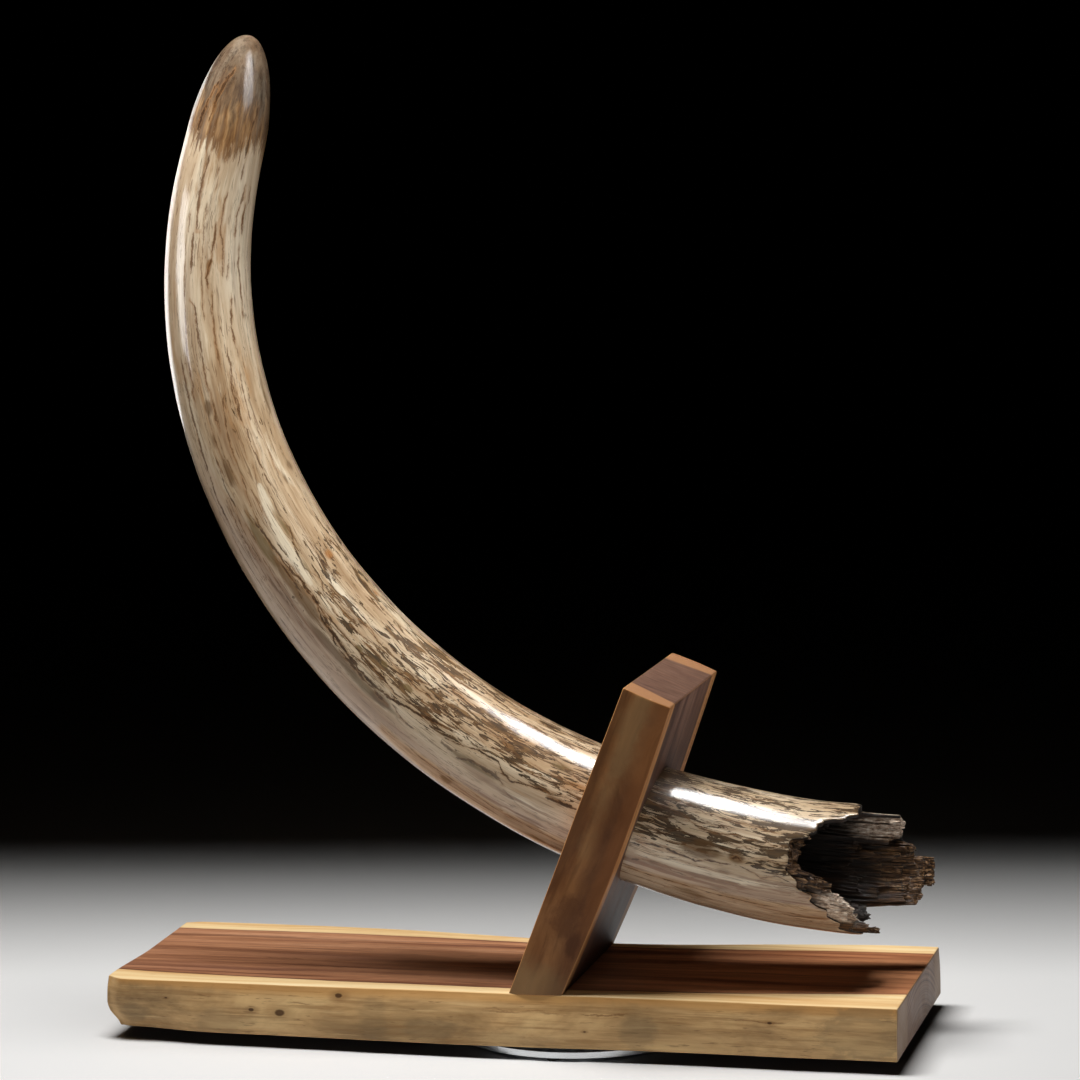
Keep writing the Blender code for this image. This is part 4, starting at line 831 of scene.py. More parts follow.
def line_fields(lines, s, deg, fields=3, room=9.0):
    """Each line as a signed distance across it, its half width and how near it is, shared out over a few fields so that
    neighbouring lines don't meet in one field."""
    made = []
    for row in lines:
        at, turn = np.array(row[2::2], float), np.array(row[3::2], float)
        order = np.argsort(at)
        made.append((row[0], row[1], at[order], turn[order]))
    homes = [[] for _ in range(fields)]
    for line in made:
        best, most = 0, -1.0
        for f, home in enumerate(homes):
            gap = 99.0
            for other in home:
                lo, hi = max(line[2][0], other[2][0]) - 6, min(line[2][-1], other[2][-1]) + 6
                if lo < hi:
                    u = np.linspace(lo, hi, 12)
                    apart = np.abs(np.interp(u, line[2], line[3]) - np.interp(u, other[2], other[3])).min()
                    gap = min(gap, apart)
            if gap > most:
                best, most = f, gap
        homes[best].append(line)
    mm, per_degree = s * 1000, girth_r(np.maximum(s, 0)) * 1000 * math.pi / 180
    out = []
    for home in homes:
        cross, width, near, best = (np.full(len(s), v) for v in (9.0, 0.0, 0.0, 99.0))
        for half, dark, at, turn in home:
            use = np.nonzero((mm > at[0] - 8) & (mm < at[-1] + 8))[0]
            u = mm[use]
            away = (deg[use] - np.interp(u, at, turn) + 180) % 360 - 180
            c = away * per_degree[use]
            past = np.minimum(u - at[0], at[-1] - u)
            w = half * 0.8 * np.where(past > 0, np.sqrt(np.clip(past / (3 * half + 2.5), 0, 1)), past * 0.5)
            score = np.abs(c) - w
            won = score < best[use]
            pick = use[won]
            cross[pick], width[pick], best[pick] = np.clip(c[won], -9, 9), w[won], score[won]
            near[pick] = dark * np.clip((room * 0.62 - np.abs(c[won])) / 2.0, 0, 1)
        out.append(np.stack([cross, width, near], -1))
    return out


def paint(s, deg):
    """Where the ivory is mottled, lined, stained, greyed, pale or brown, as soft areas the material makes ragged."""
    turn = (deg + 180) % 360 - 180  # -180..180, 0 is the front
    # heavy mottling on the upper and front side of the lower half
    bell = lambda v, at, over, power=2: np.exp(-(np.abs((v - at) / over) ** power))
    mottle = 0.78 * bell(turn, 26, 24, 3) * smooth(0.80, 0.62, s) + 0.50 * bell(turn, 72, 26, 3) * smooth(0.86, 0.60, s)
    mottle = mottle + 0.22 * smooth(1.15, 0.7, s) + 0.20 * bell(turn, 60, 50, 4) * smooth(1.18, 0.9, s)
    mottle = mottle * (1 - smooth(1.12, 1.17, s)) * (1 - 0.55 * smooth(-8, -26, turn) * smooth(-170, -140, turn))
    mottle = mottle + 0.5 * smooth(0.85, 0.5, s) * bell(turn, 150, 55, 4)
    under = bell(turn, -58, 44, 4) * (0.35 + 0.65 * smooth(0.92, 0.72, s)) + 0.5 * bell(turn, -10, 14) * smooth(0.88, 0.7, s) * smooth(0.58, 0.66, s)
    tip = smooth(1.10, 1.225, s + 0.010 * np.sin(np.radians(turn) * 3 + 1))
    tints = {"brown": s * 0, "olive": s * 0, "orange": s * 0}
    for tint, at, angle, along, round_, strength in STAINS:
        tints[tint] = np.maximum(tints[tint], blob(s, deg, at / 1000, angle, along / 1000, round_, strength))
    pale = line_fields(PALE, s, deg, fields=1, room=30.0)[0]
    pale = pale[:, 2].clip(0, 1) * smooth(5.5, -2.5, np.abs(pale[:, 0]) - pale[:, 1])
    ink = line_fields(LINES, s, deg)
    return {
        "zones": np.stack([np.clip(mottle, 0, 1), np.clip(under, 0, 1), tip], -1),
        "stains": np.stack([tints["brown"], tints["olive"], tints["orange"]], -1),
        "pale": pale, "ink_a": ink[0], "ink_b": ink[1], "ink_c": ink[2],
        # the skin's broken and hollow faces: painted shade of 0.7 inside the hollow
        "edge": s * 0, "dark": s * 0 + 0.7,
    }


# ---------------------------------------------------------------- the broken root's layers
LAYER_COLS = 360
LAYER_PHI = np.arange(LAYER_COLS) * TAU / LAYER_COLS
LAYERS = (
    # depth from, depth to (mm), reach by angle (degrees from, to, mm)
    (3.1, 4.9, ((8, 33, 138), (37, 42, 124), (44, 58, 118), (62, 66, 98), (70, 133, 95), (136, 148, 35), (150, 163, 40), (168, 178, 27), (183, 203, 8), (206, 226, 28), (231, 253, 76), (258, 286, 66), (290, 314, 74), (317, 333, 80), (336, 344, 96), (347, 356, 116))),
    (5.0, 6.8, ((8, 33, 135), (37, 42, 126), (44, 58, 121), (62, 66, 104), (70, 136, 101), (139, 150, 34), (152, 163, 44), (168, 179, 26), (182, 206, 7), (208, 226, 22), (230, 250, 72), (256, 286, 70), (291, 314, 80), (317, 333, 75), (336, 344, 90), (347, 357, 109))),
    (6.9, 8.7, ((8, 33, 132), (37, 42, 126), (44, 58, 124), (62, 66, 110), (70, 139, 106), (142, 152, 36), (154, 164, 50), (167, 179, 28), (182, 207, 10), (209, 228, 26), (230, 248, 66), (254, 286, 76), (291, 314, 84), (317, 332, 77), (336, 345, 88), (348, 357, 103))),
    (8.8, 10.6, ((8, 30, 130), (34, 42, 127), (44, 58, 127), (62, 66, 116), (70, 142, 108), (145, 155, 36), (157, 163, 60), (166, 179, 29), (182, 206, 15), (209, 230, 24), (232, 248, 74), (254, 286, 84), (291, 314, 92), (317, 330, 84), (336, 345, 96), (348, 357, 100))),
    (10.7, 12.8, ((8, 30, 131), (34, 58, 131), (62, 145, 112), (148, 156, 38), (158, 164, 70), (167, 178, 32), (181, 187, 20), (189, 196, 34), (198, 206, 24), (210, 228, 34), (232, 248, 84), (254, 290, 96), (294, 314, 104), (318, 345, 104), (348, 357, 106))),
    (12.9, 15.0, ((0, 110, 150), (114, 148, 116), (151, 159, 42), (162, 171, 76), (173, 180, 38), (183, 200, 52), (203, 212, 40), (214, 226, 56), (230, 359, 150))),
    (15.1, 17.4, ((0, 112, 155), (116, 151, 120), (154, 162, 46), (164, 170, 86), (172, 178, 60), (182, 200, 82), (204, 222, 74), (228, 359, 155))),
)


def tube_layer(name, depth0, depth1, pieces, seed, last=False):
    edge = reach_of(pieces, LAYER_PHI, seed, ((11.0, 0.0030), (5.0, 0.0022), (2.0, 0.0010)))
    deg = np.degrees(LAYER_PHI)
    comb = smooth(342, 347, deg) * smooth(360, 355, deg) + smooth(8, 4, deg)
    edge = edge + comb * (_hash(np.floor(deg / 1.4).astype(np.int64), 9, 0, seed) - 0.5) * 0.016
    rows = np.array([0, 0.0010, 0.0025, 0.005, 0.0085, 0.013, 0.019, 0.027, 0.038, 0.052, 0.07, 0.10, 0.14, 0.19])
    end = 0.20
    s = edge[None, :] + rows[:, None] * (end - edge[None, :]) / rows[-1]
    phi = np.broadcast_to(LAYER_PHI[None, :], s.shape)
    off = s - edge[None, :]
    # fibres run along; flakes lift and curl near the break
    turn = np.degrees(phi)
    flake = (_hash(np.floor(turn / 7.0).astype(np.int64), np.floor(s * 90).astype(np.int64), 1, seed) - 0.5) * 0.0012
    curl = (_hash(np.floor(turn / 12.0).astype(np.int64), 2, 0, seed) - 0.35) * 0.0030 * np.exp(-off / 0.012)
    fray = (vnoise(phi * 40, s * 60, 0, seed + 3) - 0.5) * 0.0010 + (vnoise(phi * 16, s * 25, 0, seed + 4) - 0.5) * 0.0016 + flake
    inward = curl * smooth(100, 130, turn) * smooth(250, 225, turn)
    ro = girth_r(s) - depth0 / 1000 - np.abs(fray) * 0.5 - inward * 0.8
    ri = girth_r(s) - depth1 / 1000 - fray * 1.2 - inward
    ri = ri + 0.0006 * np.exp(-off / 0.0015)
    if last:
        more = np.linspace(0.21, HOLLOW_END - 0.002, 8)
        s = np.concatenate([s, np.broadcast_to(more[:, None], (8, LAYER_COLS))])
        phi = np.broadcast_to(LAYER_PHI[None, :], s.shape)
        hollow = (girth_r(more) - depth1 / 1000) * np.sqrt(np.clip((HOLLOW_END - more) / (HOLLOW_END - 0.2), 0, 1))
        ri = np.concatenate([ri, np.broadcast_to(hollow[:, None], (8, LAYER_COLS))])
        ro = np.concatenate([ro, np.broadcast_to(np.maximum(hollow, 0.002)[:, None] + 0.002, (8, LAYER_COLS))])
    outer, inner = tusk_point(s, phi, ro), tusk_point(s, phi, ri)
    rows_n = s.shape[0]
    n_out = rows_n * LAYER_COLS
    faces = [grid_faces(rows_n, LAYER_COLS), grid_faces(rows_n, LAYER_COLS, flip=True, start=n_out)]
    j = np.arange(LAYER_COLS)
    k = (j + 1) % LAYER_COLS
    faces.append(np.stack([j, n_out + j, n_out + k, k], -1))
    b = (rows_n - 1) * LAYER_COLS
    faces.append(np.stack([b + j, b + k, n_out + b + k, n_out + b + j], -1))
    flow_o = np.stack([s, ro * np.cos(phi), ro * np.sin(phi)], -1).reshape(-1, 3)
    flow_i = np.stack([s, ri * np.cos(phi), ri * np.sin(phi)], -1).reshape(-1, 3)
    flows = np.concatenate([flow_o, flow_i])
    off = np.concatenate([(s - np.broadcast_to(edge[None, :], s.shape)).reshape(-1)] * 2)
    far, turns = np.concatenate([s.reshape(-1)] * 2), np.degrees(np.concatenate([phi.reshape(-1)] * 2)) % 360
    return make_mesh(name, np.concatenate([outer.reshape(-1, 3), inner.reshape(-1, 3)]), np.concatenate(faces), BROKEN, broken_paint(far, turns, off, flows), False)


def broken_paint(s, deg, off, flows):
    """Painted light: golden where the far wall's inside faces the light, and chalky, partly painted light, on the upper
    slab and the lower chunk. Painted shade: dark further in.
    """
    # the chalky slab and chunk: partly chalk, partly painted light
    chalk_and_painted_light = smooth(118, 124, deg) * smooth(158, 150, deg) * smooth(0.110, 0.075, s)
    chalk_and_painted_light = np.maximum(chalk_and_painted_light, smooth(312, 318, deg) * smooth(350, 344, deg) * smooth(0.112, 0.100, s))
    ledge = smooth(160, 166, deg) * smooth(186, 181, deg) * smooth(0.102, 0.080, s)
    # painted light on the far wall's inside
    far_wall_painted_light = smooth(0.078, 0.050, s) * smooth(162, 176, deg) * smooth(232, 208, deg)
    # painted shade: darker deeper in the hollow and further from the break, lifted on the slab and the ledges
    dark = smooth(0.040, 0.080, s) * smooth(90, 130, deg) * smooth(300, 250, deg) + smooth(0.015, 0.05, off) * 0.60
    dark = dark * (1 - 0.8 * np.maximum(chalk_and_painted_light, 0.6 * ledge))
    return {"flow": flows, "edge": np.clip(np.exp(-off / 0.005) + 0.55 * far_wall_painted_light + 0.7 * chalk_and_painted_light, 0, 1), "dark": np.clip(dark, 0, 0.88), "pale": chalk_and_painted_light}


CRUMBS = (
    # distance (mm), angle, depth (mm), half size along, round and through (mm)
    (92, 338, 7, 8, 4, 4), (84, 331, 7, 7, 5, 4), (82, 324, 8, 7, 4, 4), (88, 320, 9, 6, 4, 4), (98, 342, 8, 8, 4, 4), (76, 318, 7, 5, 4, 3),
    (39, 139, 7, 6, 3, 3), (38, 145, 8, 5, 3, 3), (41, 151, 10, 6, 3, 3),
    (11, 187, 8, 5, 5, 4), (12, 196, 8, 5, 4, 4), (10, 203, 7, 4, 4, 3), (24, 210, 8, 6, 4, 4), (33, 218, 7, 6, 4, 4), (28, 224, 6, 5, 3, 3),
    (30, 170, 9, 7, 3, 4), (34, 176, 10, 8, 3, 4), (76, 160, 13, 9, 4, 4), (84, 168, 14, 9, 3, 4), (66, 150, 9, 7, 3, 3),
    (134, 20, 8, 4, 5, 4), (132, 34, 8, 4, 4, 4), (133, 8, 8, 5, 4, 4), (112, 352, 8, 8, 3, 3), (120, 358, 8, 8, 3, 3), (106, 348, 9, 8, 3, 3),
    (62, 290, 6, 6, 5, 3), (70, 300, 6, 8, 5, 4), (72, 246, 7, 6, 4, 4), (60, 275, 5, 5, 5, 3),
)


def crumbs():
    points, faces, atts = [], [], []
    rows, cols = 9, 14
    lat, lon = np.meshgrid(np.linspace(-math.pi / 2, math.pi / 2, rows), np.arange(cols) * TAU / cols, indexing="ij")
    unit = np.stack([np.cos(lat) * np.cos(lon), np.cos(lat) * np.sin(lon), np.sin(lat)], -1).reshape(-1, 3)
    blocky = np.sign(unit) * np.abs(unit) ** 0.55
    for i, (s0, deg0, depth, ds, dr, dt) in enumerate(CRUMBS):
        noise = np.stack([vnoise(unit[:, 0] * 2.3 + i, unit[:, 1] * 2.3, unit[:, 2] * 2.3, 300 + a) for a in range(3)], -1) - 0.5
        shape = blocky * (1 + 1.1 * (vnoise(unit[:, 0] * 3 + 7 * i, unit[:, 1] * 3, unit[:, 2] * 3, 311)[:, None] - 0.5)) + noise * 0.7
        s = s0 / 1000 + shape[:, 0] * ds / 1000
        r = girth_r(s) - depth / 1000 + shape[:, 2] * dt / 1000 * 0.8
        r = np.minimum(r, girth_r(s) - 0.0030)
        phi = math.radians(deg0) + shape[:, 1] * dr / 1000 / 0.058
        start = len(points) * rows * cols
        points.append(tusk_point(s, phi, r))
        faces.append(grid_faces(rows, cols, start=start))
        flow = np.stack([s, r * np.cos(phi), r * np.sin(phi)], -1)
        att = broken_paint(s, np.degrees(phi) % 360, 0.004 * (1 + 0 * s), flow)
        atts.append(att)
    merged = {key: np.concatenate([a[key] for a in atts]) for key in atts[0]}
    return make_mesh("tusk_crumbs", np.concatenate(points), np.concatenate(faces), BROKEN, merged, False)


# ---------------------------------------------------------------- put together
skin = tusk_skin()
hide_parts("tusk")
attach(skin, "stand")
for i, (d0, d1, pieces) in enumerate(LAYERS):
    layer = tube_layer(f"tusk_layer_{i + 1}", d0, d1, pieces, 31 + 7 * i, last=i == len(LAYERS) - 1)
    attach(layer, "stand")
shards = crumbs()
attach(shards, "stand")


def bulge(x, c, w):
    return np.exp(-(((x - c) / w) ** 2))


def stack(name, rings, material):
    """A closed body through rings of points, its ends closed by rings that shrink to a point."""
    first, last = rings[0], rings[-1]
    rows = [first.mean(0) + (first - first.mean(0)) * f for f in (0.2, 0.45, 0.7, 0.86, 0.96)]
    rows += list(rings) + [last.mean(0) + (last - last.mean(0)) * f for f in (0.96, 0.86, 0.7, 0.45, 0.2)]
    rows = np.array(rows)
    r, c = rows.shape[:2]
    faces = grid_faces(r, c).tolist()
    j = np.arange(c)
    k = (j + 1) % c
    faces += [[int(b_), int(a_), r * c] for a_, b_ in zip(j, k)]
    faces += [[int((r - 1) * c + a_), int((r - 1) * c + b_), r * c + 1] for a_, b_ in zip(j, k)]
    points = np.concatenate([rows.reshape(-1, 3), first.mean(0)[None], last.mean(0)[None]])
    return make_mesh(name, points, faces, material)


def settle(obj, cutters=()):
    """Faces out, holes cut, edges sharper than 40 degrees kept sharp."""
    bm = bmesh.new()
    bm.from_mesh(obj.data)
    bmesh.ops.recalc_face_normals(bm, faces=bm.faces)
    bm.to_mesh(obj.data)
    bm.free()
    for cutter in cutters:
        m = obj.modifiers.new("cut", "BOOLEAN")
        m.operation, m.solver, m.object = "DIFFERENCE", "EXACT", cutter
    if cutters:
        mesh = bpy.data.meshes.new_from_object(obj.evaluated_get(bpy.context.evaluated_depsgraph_get()))
        obj.modifiers.clear()
        obj.data = mesh
        for cutter in cutters:
            bpy.data.objects.remove(cutter)
    obj.data.polygons.foreach_set("use_smooth", [True] * len(obj.data.polygons))
    obj.data.set_sharp_from_angle(angle=math.radians(40))
    return obj


def plug(x, y, profile):
    """A round cutter upright at (x, y)."""
    turn = np.arange(24) * TAU / 24
    rings = np.array([np.stack([x + r * np.cos(turn), y + r * np.sin(turn), 0 * turn + z], -1) for r, z in profile])
    return settle(stack("plug", rings, PLANK))


def plank():
    x0, x1, z0, z1, e = -0.4667, 0.3413, 0.0125, 0.0635, 0.0015
    rise = np.radians([0, 30, 60, 90])
    xs = np.concatenate([x0 + e * (1 - np.cos(rise)), x0 + e + 0.032 * np.linspace(0, 1, 18)[1:] ** 1.2, np.linspace(x0 + 0.036, x1 - 0.012, 300), [x1 - 0.008, x1 - 0.004, x1 - 0.0022], x1 - e * (1 - np.cos(rise[::-1]))])
    inset = np.concatenate([e * (1 - np.sin(rise)), np.zeros(len(xs) - 8), e * (1 - np.sin(rise[::-1]))])
    corner = 0.010 * bulge(xs, x0, 0.010)
    wave = (fbm(xs * 7, 0, 0, 71, 3) - 0.5) * 0.0030 + (fbm(xs * 26, 0, 0, 73, 3) - 0.5) * 0.0012
    ft = -0.1235 + corner + wave
    fl = -0.1235 - (0.0045 + 0.006 * bulge(xs, -0.08, 0.15) - 0.010 * bulge(xs, -0.445, 0.05)) + corner * 0.5 + wave * 0.6 + (fbm(xs * 9, 0, 0, 75, 3) - 0.5) * 0.0024
    bt = 0.1225 - 0.030 * bulge(xs, 0.015, 0.17) + 0.003 * bulge(xs, 0.30, 0.06)
    bl = bt + 0.006 + 0.018 * bulge(xs, 0.015, 0.16) - 0.004 * bulge(xs, -0.30, 0.10) + (fbm(xs * 9, 0, 0, 77, 3) - 0.5) * 0.0026
    bt = bt - 0.5 * corner + (fbm(xs * 12, 0, 0, 79, 3) - 0.5) * 0.0022
    ys, zs = [], []

    def add(y, z):
        ys.append(y)
        zs.append(z)

    arc = np.radians(np.linspace(90, 180, 5))
    for t in arc:  # top front
        add(ft + inset + e + e * np.cos(t), z1 - inset - e + e * np.sin(t))
    for k in np.linspace(0, 1, 22)[1:-1]:
        z = (z1 - inset - e) + (z0 - z1 + 2 * inset + 2 * e) * k
        rough = (fbm(xs * 16, k * 1.5, 0, 81, 4) - 0.5) * 0.0030 + (fbm(xs * 60, k * 5, 0, 83, 3) - 0.5) * 0.0009
        add(ft + (fl - ft) * k + inset - (0.0024 + 0.0030 * bulge(xs, x0, 0.05)) * math.sin(math.pi * k) + rough * math.sin(math.pi * k) ** 0.5, z)
    for t in arc:
        add(fl + inset + e + e * np.cos(t + math.pi / 2), z0 + inset + e + e * np.sin(t + math.pi / 2))
    low_front, low_back = fl + inset + e, bl - inset - e
    for k in np.concatenate([[0.006], np.linspace(0, 1, 24)[1:-1], [0.994]]):
        add(low_front + (low_back - low_front) * k, z0 + 0 * xs + inset)
    for t in arc:
        add(bl - inset - e + e * np.cos(t + math.pi), z0 + inset + e + e * np.sin(t + math.pi))
    for k in np.linspace(0, 1, 18)[1:-1]:
        z = (z0 + inset + e) + (z1 - z0 - 2 * inset - 2 * e) * k
        rough = (fbm(xs * 16, k * 1.5, 5, 85, 4) - 0.5) * 0.0034 + (fbm(xs * 60, k * 5, 5, 87, 3) - 0.5) * 0.0009
        add(bl + (bt - bl) * k - inset + 0.0030 * math.sin(math.pi * k) + rough * math.sin(math.pi * k) ** 0.5, z)
    for t in arc:
        add(bt - inset - e + e * np.cos(t + math.pi * 1.5), z1 - inset - e + e * np.sin(t + math.pi * 1.5))
    high_front, high_back = ft + inset + e, bt - inset - e
    for k in np.concatenate([[0.006], np.linspace(0, 1, 40)[1:-1], [0.994]]):
        add(high_back + (high_front - high_back) * k, z1 + 0 * xs - inset)
    ys, zs = np.array(ys).T, np.array(zs).T
    t = ((xs - x0) / (x1 - x0))[:, None]
    x = xs[:, None] + (-0.0097 * (1 - t) + 0.0036 * t) * ys / 0.247
    # the left end swells out at the front and tucks in under
    high = np.clip((zs - z0) / (z1 - z0), 0, 1)
    x = x - 0.0056 * bulge(xs, x0, 0.030)[:, None] * smooth(0.0, -0.10, ys) * (smooth(0.05, 0.5, high) + 0.10 * np.sin(math.pi * high) - 0.9 * smooth(0.34, 0.0, high))
    rings = np.stack([x + SWIVEL_X, ys, zs], -1)
    obj = stack("plank", rings, PLANK)
    holes = [plug(SWIVEL_X + 0.1085 * math.cos(math.radians(45 + 90 * i)), 0.1085 * math.sin(math.radians(45 + 90 * i)), ((0.0022, 0.0110), (0.0022, 0.0223))) for i in range(4)]
    holes += [plug(SWIVEL_X - 0.0080, y, ((0.0060, 0.0110), (0.0052, 0.0139), (0.0028, 0.0178), (0.0028, 0.0640))) for y in (-0.060, 0.040)]
    return settle(obj, holes)


def post():
    foot = np.array([-0.0442 + SWIVEL_X, 0.0, 0.0638])
    along, across = np.array(ALONG), np.array(ACROSS)
    e, length = 0.0019, 0.3290
    rise = np.radians([0, 30, 60, 90])
    k = np.concatenate([np.linspace(0, 1 - e / length, 140), [1 - e / length * (1 - math.sin(t)) for t in rise[1:]]])
    inset = np.concatenate([np.zeros(140), [e * (1 - math.cos(t)) for t in rise[1:]]])
    thick = 0.0502 + 0.0045 * np.sin(math.pi * k)
    front = -0.1227 + inset + 0.0016 * np.sin(7.0 * k + 0.5) * k + (fbm(k * 5, 0, 0, 91, 3) - 0.5) * 0.0016
    back = 0.0912 + 0.0043 * k - inset + 0.002 * np.sin(5.0 * k) + (fbm(k * 5, 0, 0, 93, 3) - 0.5) * 0.0020
    u0, u1 = inset, thick - inset
    us, ys = [], []

    def add(u, y):
        us.append(u)
        ys.append(y)

    arc = np.radians(np.linspace(0, 90, 5))
    for f in np.concatenate([[0.01], np.linspace(0, 1, 34)[1:-1], [0.99]]):  # left face, back to front
        add(u0 + 0 * k, (back - e) + (front - back + 2 * e) * f)
    for t in arc:
        add(u0 + e - e * np.cos(t), front + e - e * np.sin(t))
    for f in np.linspace(0, 1, 20)[1:-1]:
        rough = (fbm(k * 9, f * 1.6, 0, 95, 4) - 0.5) * 0.0016
        add((u0 + e) + (u1 - u0 - 2 * e) * f, front - (0.0026 - rough) * math.sin(math.pi * f))
    for t in arc:
        add(u1 - e + e * np.sin(t), front + e - e * np.cos(t))
    for f in np.concatenate([[0.01], np.linspace(0, 1, 34)[1:-1], [0.99]]):
        add(u1 + 0 * k, (front + e) + (back - front - 2 * e) * f)
    for t in arc:
        add(u1 - e + e * np.cos(t), back - e + e * np.sin(t))
    for f in np.linspace(0, 1, 20)[1:-1]:
        rough = (fbm(k * 9, f * 1.6, 4, 97, 4) - 0.5) * 0.0016
        add((u1 - e) + (u0 - u1 + 2 * e) * f, back + (0.0026 + rough) * math.sin(math.pi * f))
    for t in arc:
        add(u0 + e - e * np.sin(t), back - e + e * np.cos(t))
    us, ys = np.array(us).T, np.array(ys).T
    low = us * math.tan(LEAN)
    h = low + (length - low) * k[:, None]
    rings = foot + along * h[..., None] + across * us[..., None] + np.array([0.0, 1.0, 0.0]) * ys[..., None]
    obj = stack("post_slab", rings, POST)
    s = np.linspace(0.21, 0.46, 64)[:, None]
    phi = np.broadcast_to(np.arange(96) * TAU / 96, (64, 96))
    s = np.broadcast_to(s, phi.shape)
    bore = settle(stack("bore", tusk_point(s, phi, girth_r(s) + 0.0006), POST))
    holes = [plug(SWIVEL_X - 0.0080, y, ((0.0028, 0.0625), (0.0028, 0.0990))) for y in (-0.060, 0.040)]
    return settle(obj, [bore] + holes)


for piece, node, slot in ((plank(), "base", "walnut_plank"), (post(), "post", "walnut_post")):
    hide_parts(node)
    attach(piece, "stand")


def dress(node, material):
    o = NODES[node]
    if not o.data.materials:
        o.data.materials.append(material)
    for i in range(len(o.data.materials)):
        o.data.materials[i] = material


for name in NODES:
    if name.startswith("turntable"):
        dress(name, ALUMINIUM)
    elif name.startswith("foot"):
        dress(name, RUBBER)
    elif "screw" in name:
        dress(name, STEEL)


# ---------------------------------------------------------------- floor, light, camera
def floor():
    n = Nodes("floor")
    p = n.coords()
    c = n.mix(n.noise(p, 3.0, 3.0), srgb(225, 226, 228), srgb(231, 232, 233))
    mat = n.finish(c, 0.7, n.bump(n.noise(p, 400.0, 2.0), 0.05, 0.0005), Specular_IOR_Level=0.2)
    pts = [(-14, -14, 0), (14, -14, 0), (14, 14, 0), (-14, 14, 0)]
    o = make_mesh("floor", np.array(pts, float), [[0, 1, 2, 3]], mat, smooth_shade=False)
    return o


floor()


def flag():
    """A black card over the back of the floor, above the camera's view. It shades only the floor behind the object from the overhead box."""
    n = Nodes("flag_black")
    mat = n.finish(n.mix(n.noise(n.coords(), 40.0, 2.0), srgb(8, 8, 8), srgb(14, 14, 14)), 0.9, n.bump(n.noise(n.coords(), 300.0, 2.0), 0.1, 0.0005))
    pts = [(-9, FLAG_Y - 9 * FLAG_TURN, FLAG_Z), (9, FLAG_Y + 9 * FLAG_TURN, FLAG_Z), (9, 14, FLAG_Z), (-9, 14, FLAG_Z)]
    o = make_mesh("flag", np.array(pts, float), [[0, 1, 2, 3]], mat, smooth_shade=False)
    o.visible_camera = o.visible_diffuse = o.visible_glossy = False
    unflagged = bpy.data.collections.new("unflagged")
    unflagged.objects.link(o)
    unflagged.collection_objects[0].light_linking.link_state = "EXCLUDE"
    return unflagged


FLAG_Y, FLAG_TURN, FLAG_Z = 0.205, 0.165, 1.18
UNFLAGGED = flag()


def softbox(name, target, azimuth, elevation, distance, width, height, power, colour=(1, 1, 1), use="both", spread=180, only=()):
    """Azimuth 0 is in front (-Y), positive to the right (+X). A "shine" box shows only in polish and a "fill" box only lights.
    A box with "only" is flagged off everything but those pieces, as a studio does with cards."""
    a, e = math.radians(azimuth), math.radians(elevation)
    way = Vector((math.sin(a) * math.cos(e), -math.cos(a) * math.cos(e), math.sin(e)))
    light = bpy.data.lights.new(name, "AREA")
    light.shape = "RECTANGLE"
    light.size, light.size_y = width, height
    light.energy = power
    light.color = colour
    light.spread = math.radians(spread)
    o = bpy.data.objects.new(name, light)
    o.location = Vector(target) + way * distance
    o.rotation_mode = "QUATERNION"
    o.rotation_quaternion = (-way).to_track_quat("-Z", "Y")
    o.visible_camera = False
    o.visible_diffuse = use != "shine"
    o.visible_glossy = use != "fill"
    bpy.context.scene.collection.objects.link(o)
    if only:
        lit = bpy.data.collections.new(name + "_on")
        for piece in bpy.context.scene.objects:
            if piece.name.startswith(only):
                lit.objects.link(piece)
        o.light_linking.receiver_collection = lit
        o.light_linking.blocker_collection = UNFLAGGED
    return o


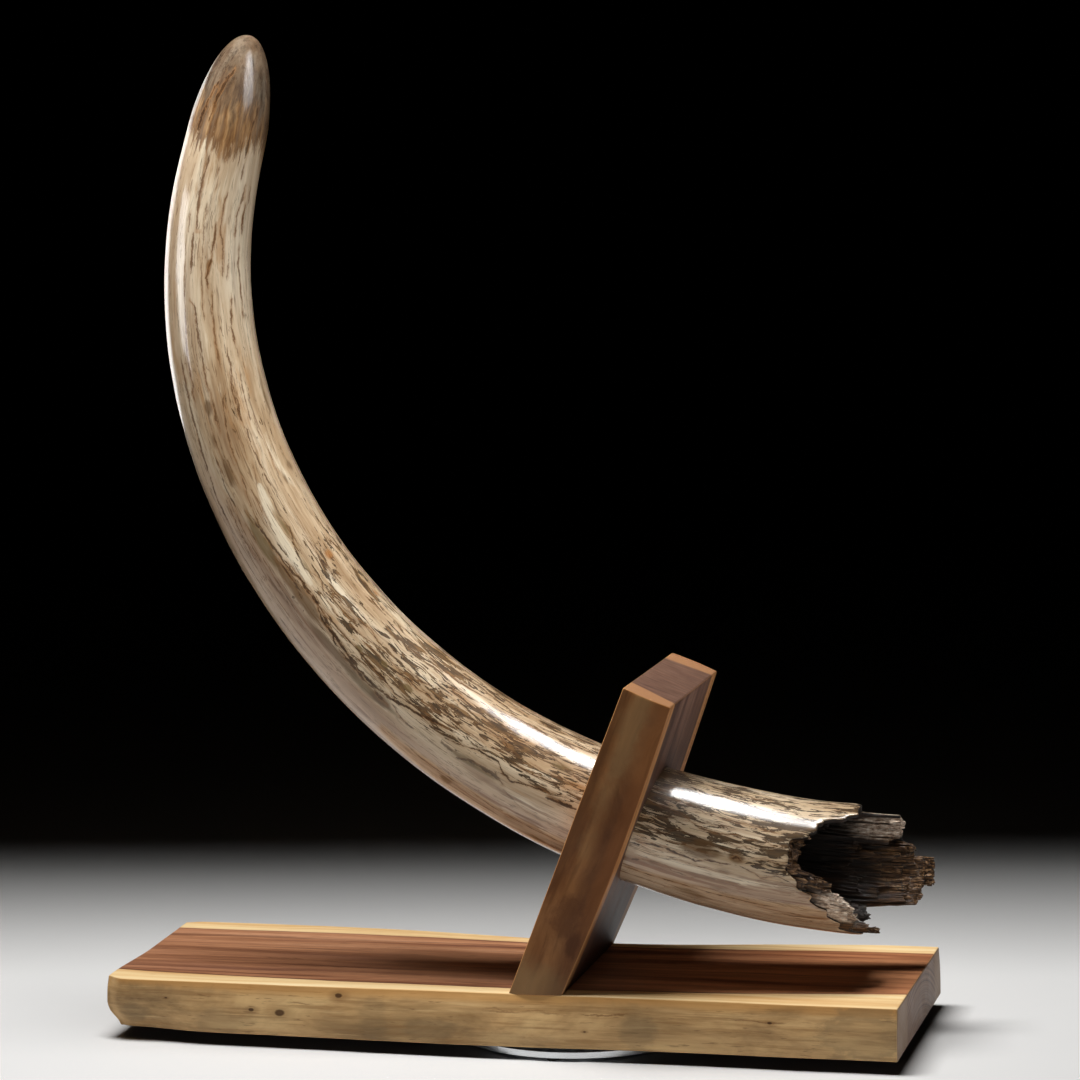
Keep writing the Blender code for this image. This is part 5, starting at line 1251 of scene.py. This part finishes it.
WARM, WHITE = (1.0, 0.98, 0.95), (1, 1, 1)
softbox("overhead", (0.12, -0.04, 0.10), -77, 80, 2.25, 0.60, 1.30, 66, WARM, "fill")
softbox("right_front", (-0.28, 0.0, 0.75), 60, 43, 2.2, 0.9, 0.9, 1.15, WARM, "fill", 45, ("tusk",))
softbox("front_upper", (-0.28, 0.0, 0.72), -12, 12, 2.4, 0.9, 0.9, 0.40, WARM, "fill", 45, ("tusk",))
softbox("left_back", (-0.28, 0.0, 0.75), -115, 20, 1.6, 0.8, 1.2, 11, WARM, "fill", 180, ("tusk",))
softbox("front_card", (0.0, -0.13, 0.04), 5, 20, 2.2, 1.4, 0.5, 2.6, WARM, "fill", 180, ("plank", "post_slab"))
softbox("root_card", (0.38, 0.0, 0.20), 20, 42, 1.8, 0.3, 0.3, 5.6, WARM, "fill", 180, ("tusk_layer", "tusk_crumbs"))
softbox("post_side", (0.12, 0.0, 0.40), 80, 15, 2.0, 0.1, 0.1, 0.03, WARM, "fill", 6, ("post_slab",))
softbox("ring_shine", (0.0616, -0.15, 0.01), 0, 30, 2.0, 1.2, 0.5, 6, WHITE, "shine", 180, ("turntable",))
softbox("strip_shine", (-0.28, 0.0, 0.80), -58, 9, 1.6, 0.60, 0.60, 9, WHITE, "shine", 180, ("tusk",))
softbox("rim_shine", (-0.28, 0.0, 0.80), -127, 4, 1.6, 0.80, 1.1, 7, WHITE, "shine", 180, ("tusk",))
softbox("tip_shine", (-0.24, -0.03, 0.945), 76, 38, 0.45, 0.19, 0.44, 0.34, WHITE, "shine", 70, ("tusk",))
softbox("back_shine", (0.28, -0.05, 0.24), 103, 77.5, 1.5, 1.45, 0.85, 5.6, WHITE, "shine", 32, ("tusk",))

world = bpy.data.worlds.new("studio")
bpy.context.scene.world = world
world.use_nodes = True
world.node_tree.nodes["Background"].inputs[0].default_value = (0.8, 0.85, 0.9, 1)
world.node_tree.nodes["Background"].inputs[1].default_value = 0.0

yaw, pitch, roll = math.radians(-15.113), math.radians(7.033), math.radians(-1.679)
fwd = Vector((math.sin(yaw) * math.cos(pitch), math.cos(yaw) * math.cos(pitch), -math.sin(pitch)))
side = Vector((math.cos(yaw), -math.sin(yaw), 0.0))
top = side.cross(fwd)
right = side * math.cos(roll) + top * math.sin(roll)
above = top * math.cos(roll) - side * math.sin(roll)
turn = Matrix((right, above, -fwd)).transposed()
cam = bpy.data.cameras.new("camera")
cam.sensor_width = 36.0
cam.lens = 36.0 * 3400.0 / 1080.0
cam.clip_start, cam.clip_end = 0.05, 100.0
camera = bpy.data.objects.new("camera", cam)
camera.matrix_world = Matrix.Translation((0.8452 + SWIVEL_X, -3.2479, 0.9105)) @ turn.to_4x4()
bpy.context.scene.collection.objects.link(camera)
bpy.context.scene.camera = camera
bpy.context.scene.view_settings.view_transform = "Standard"
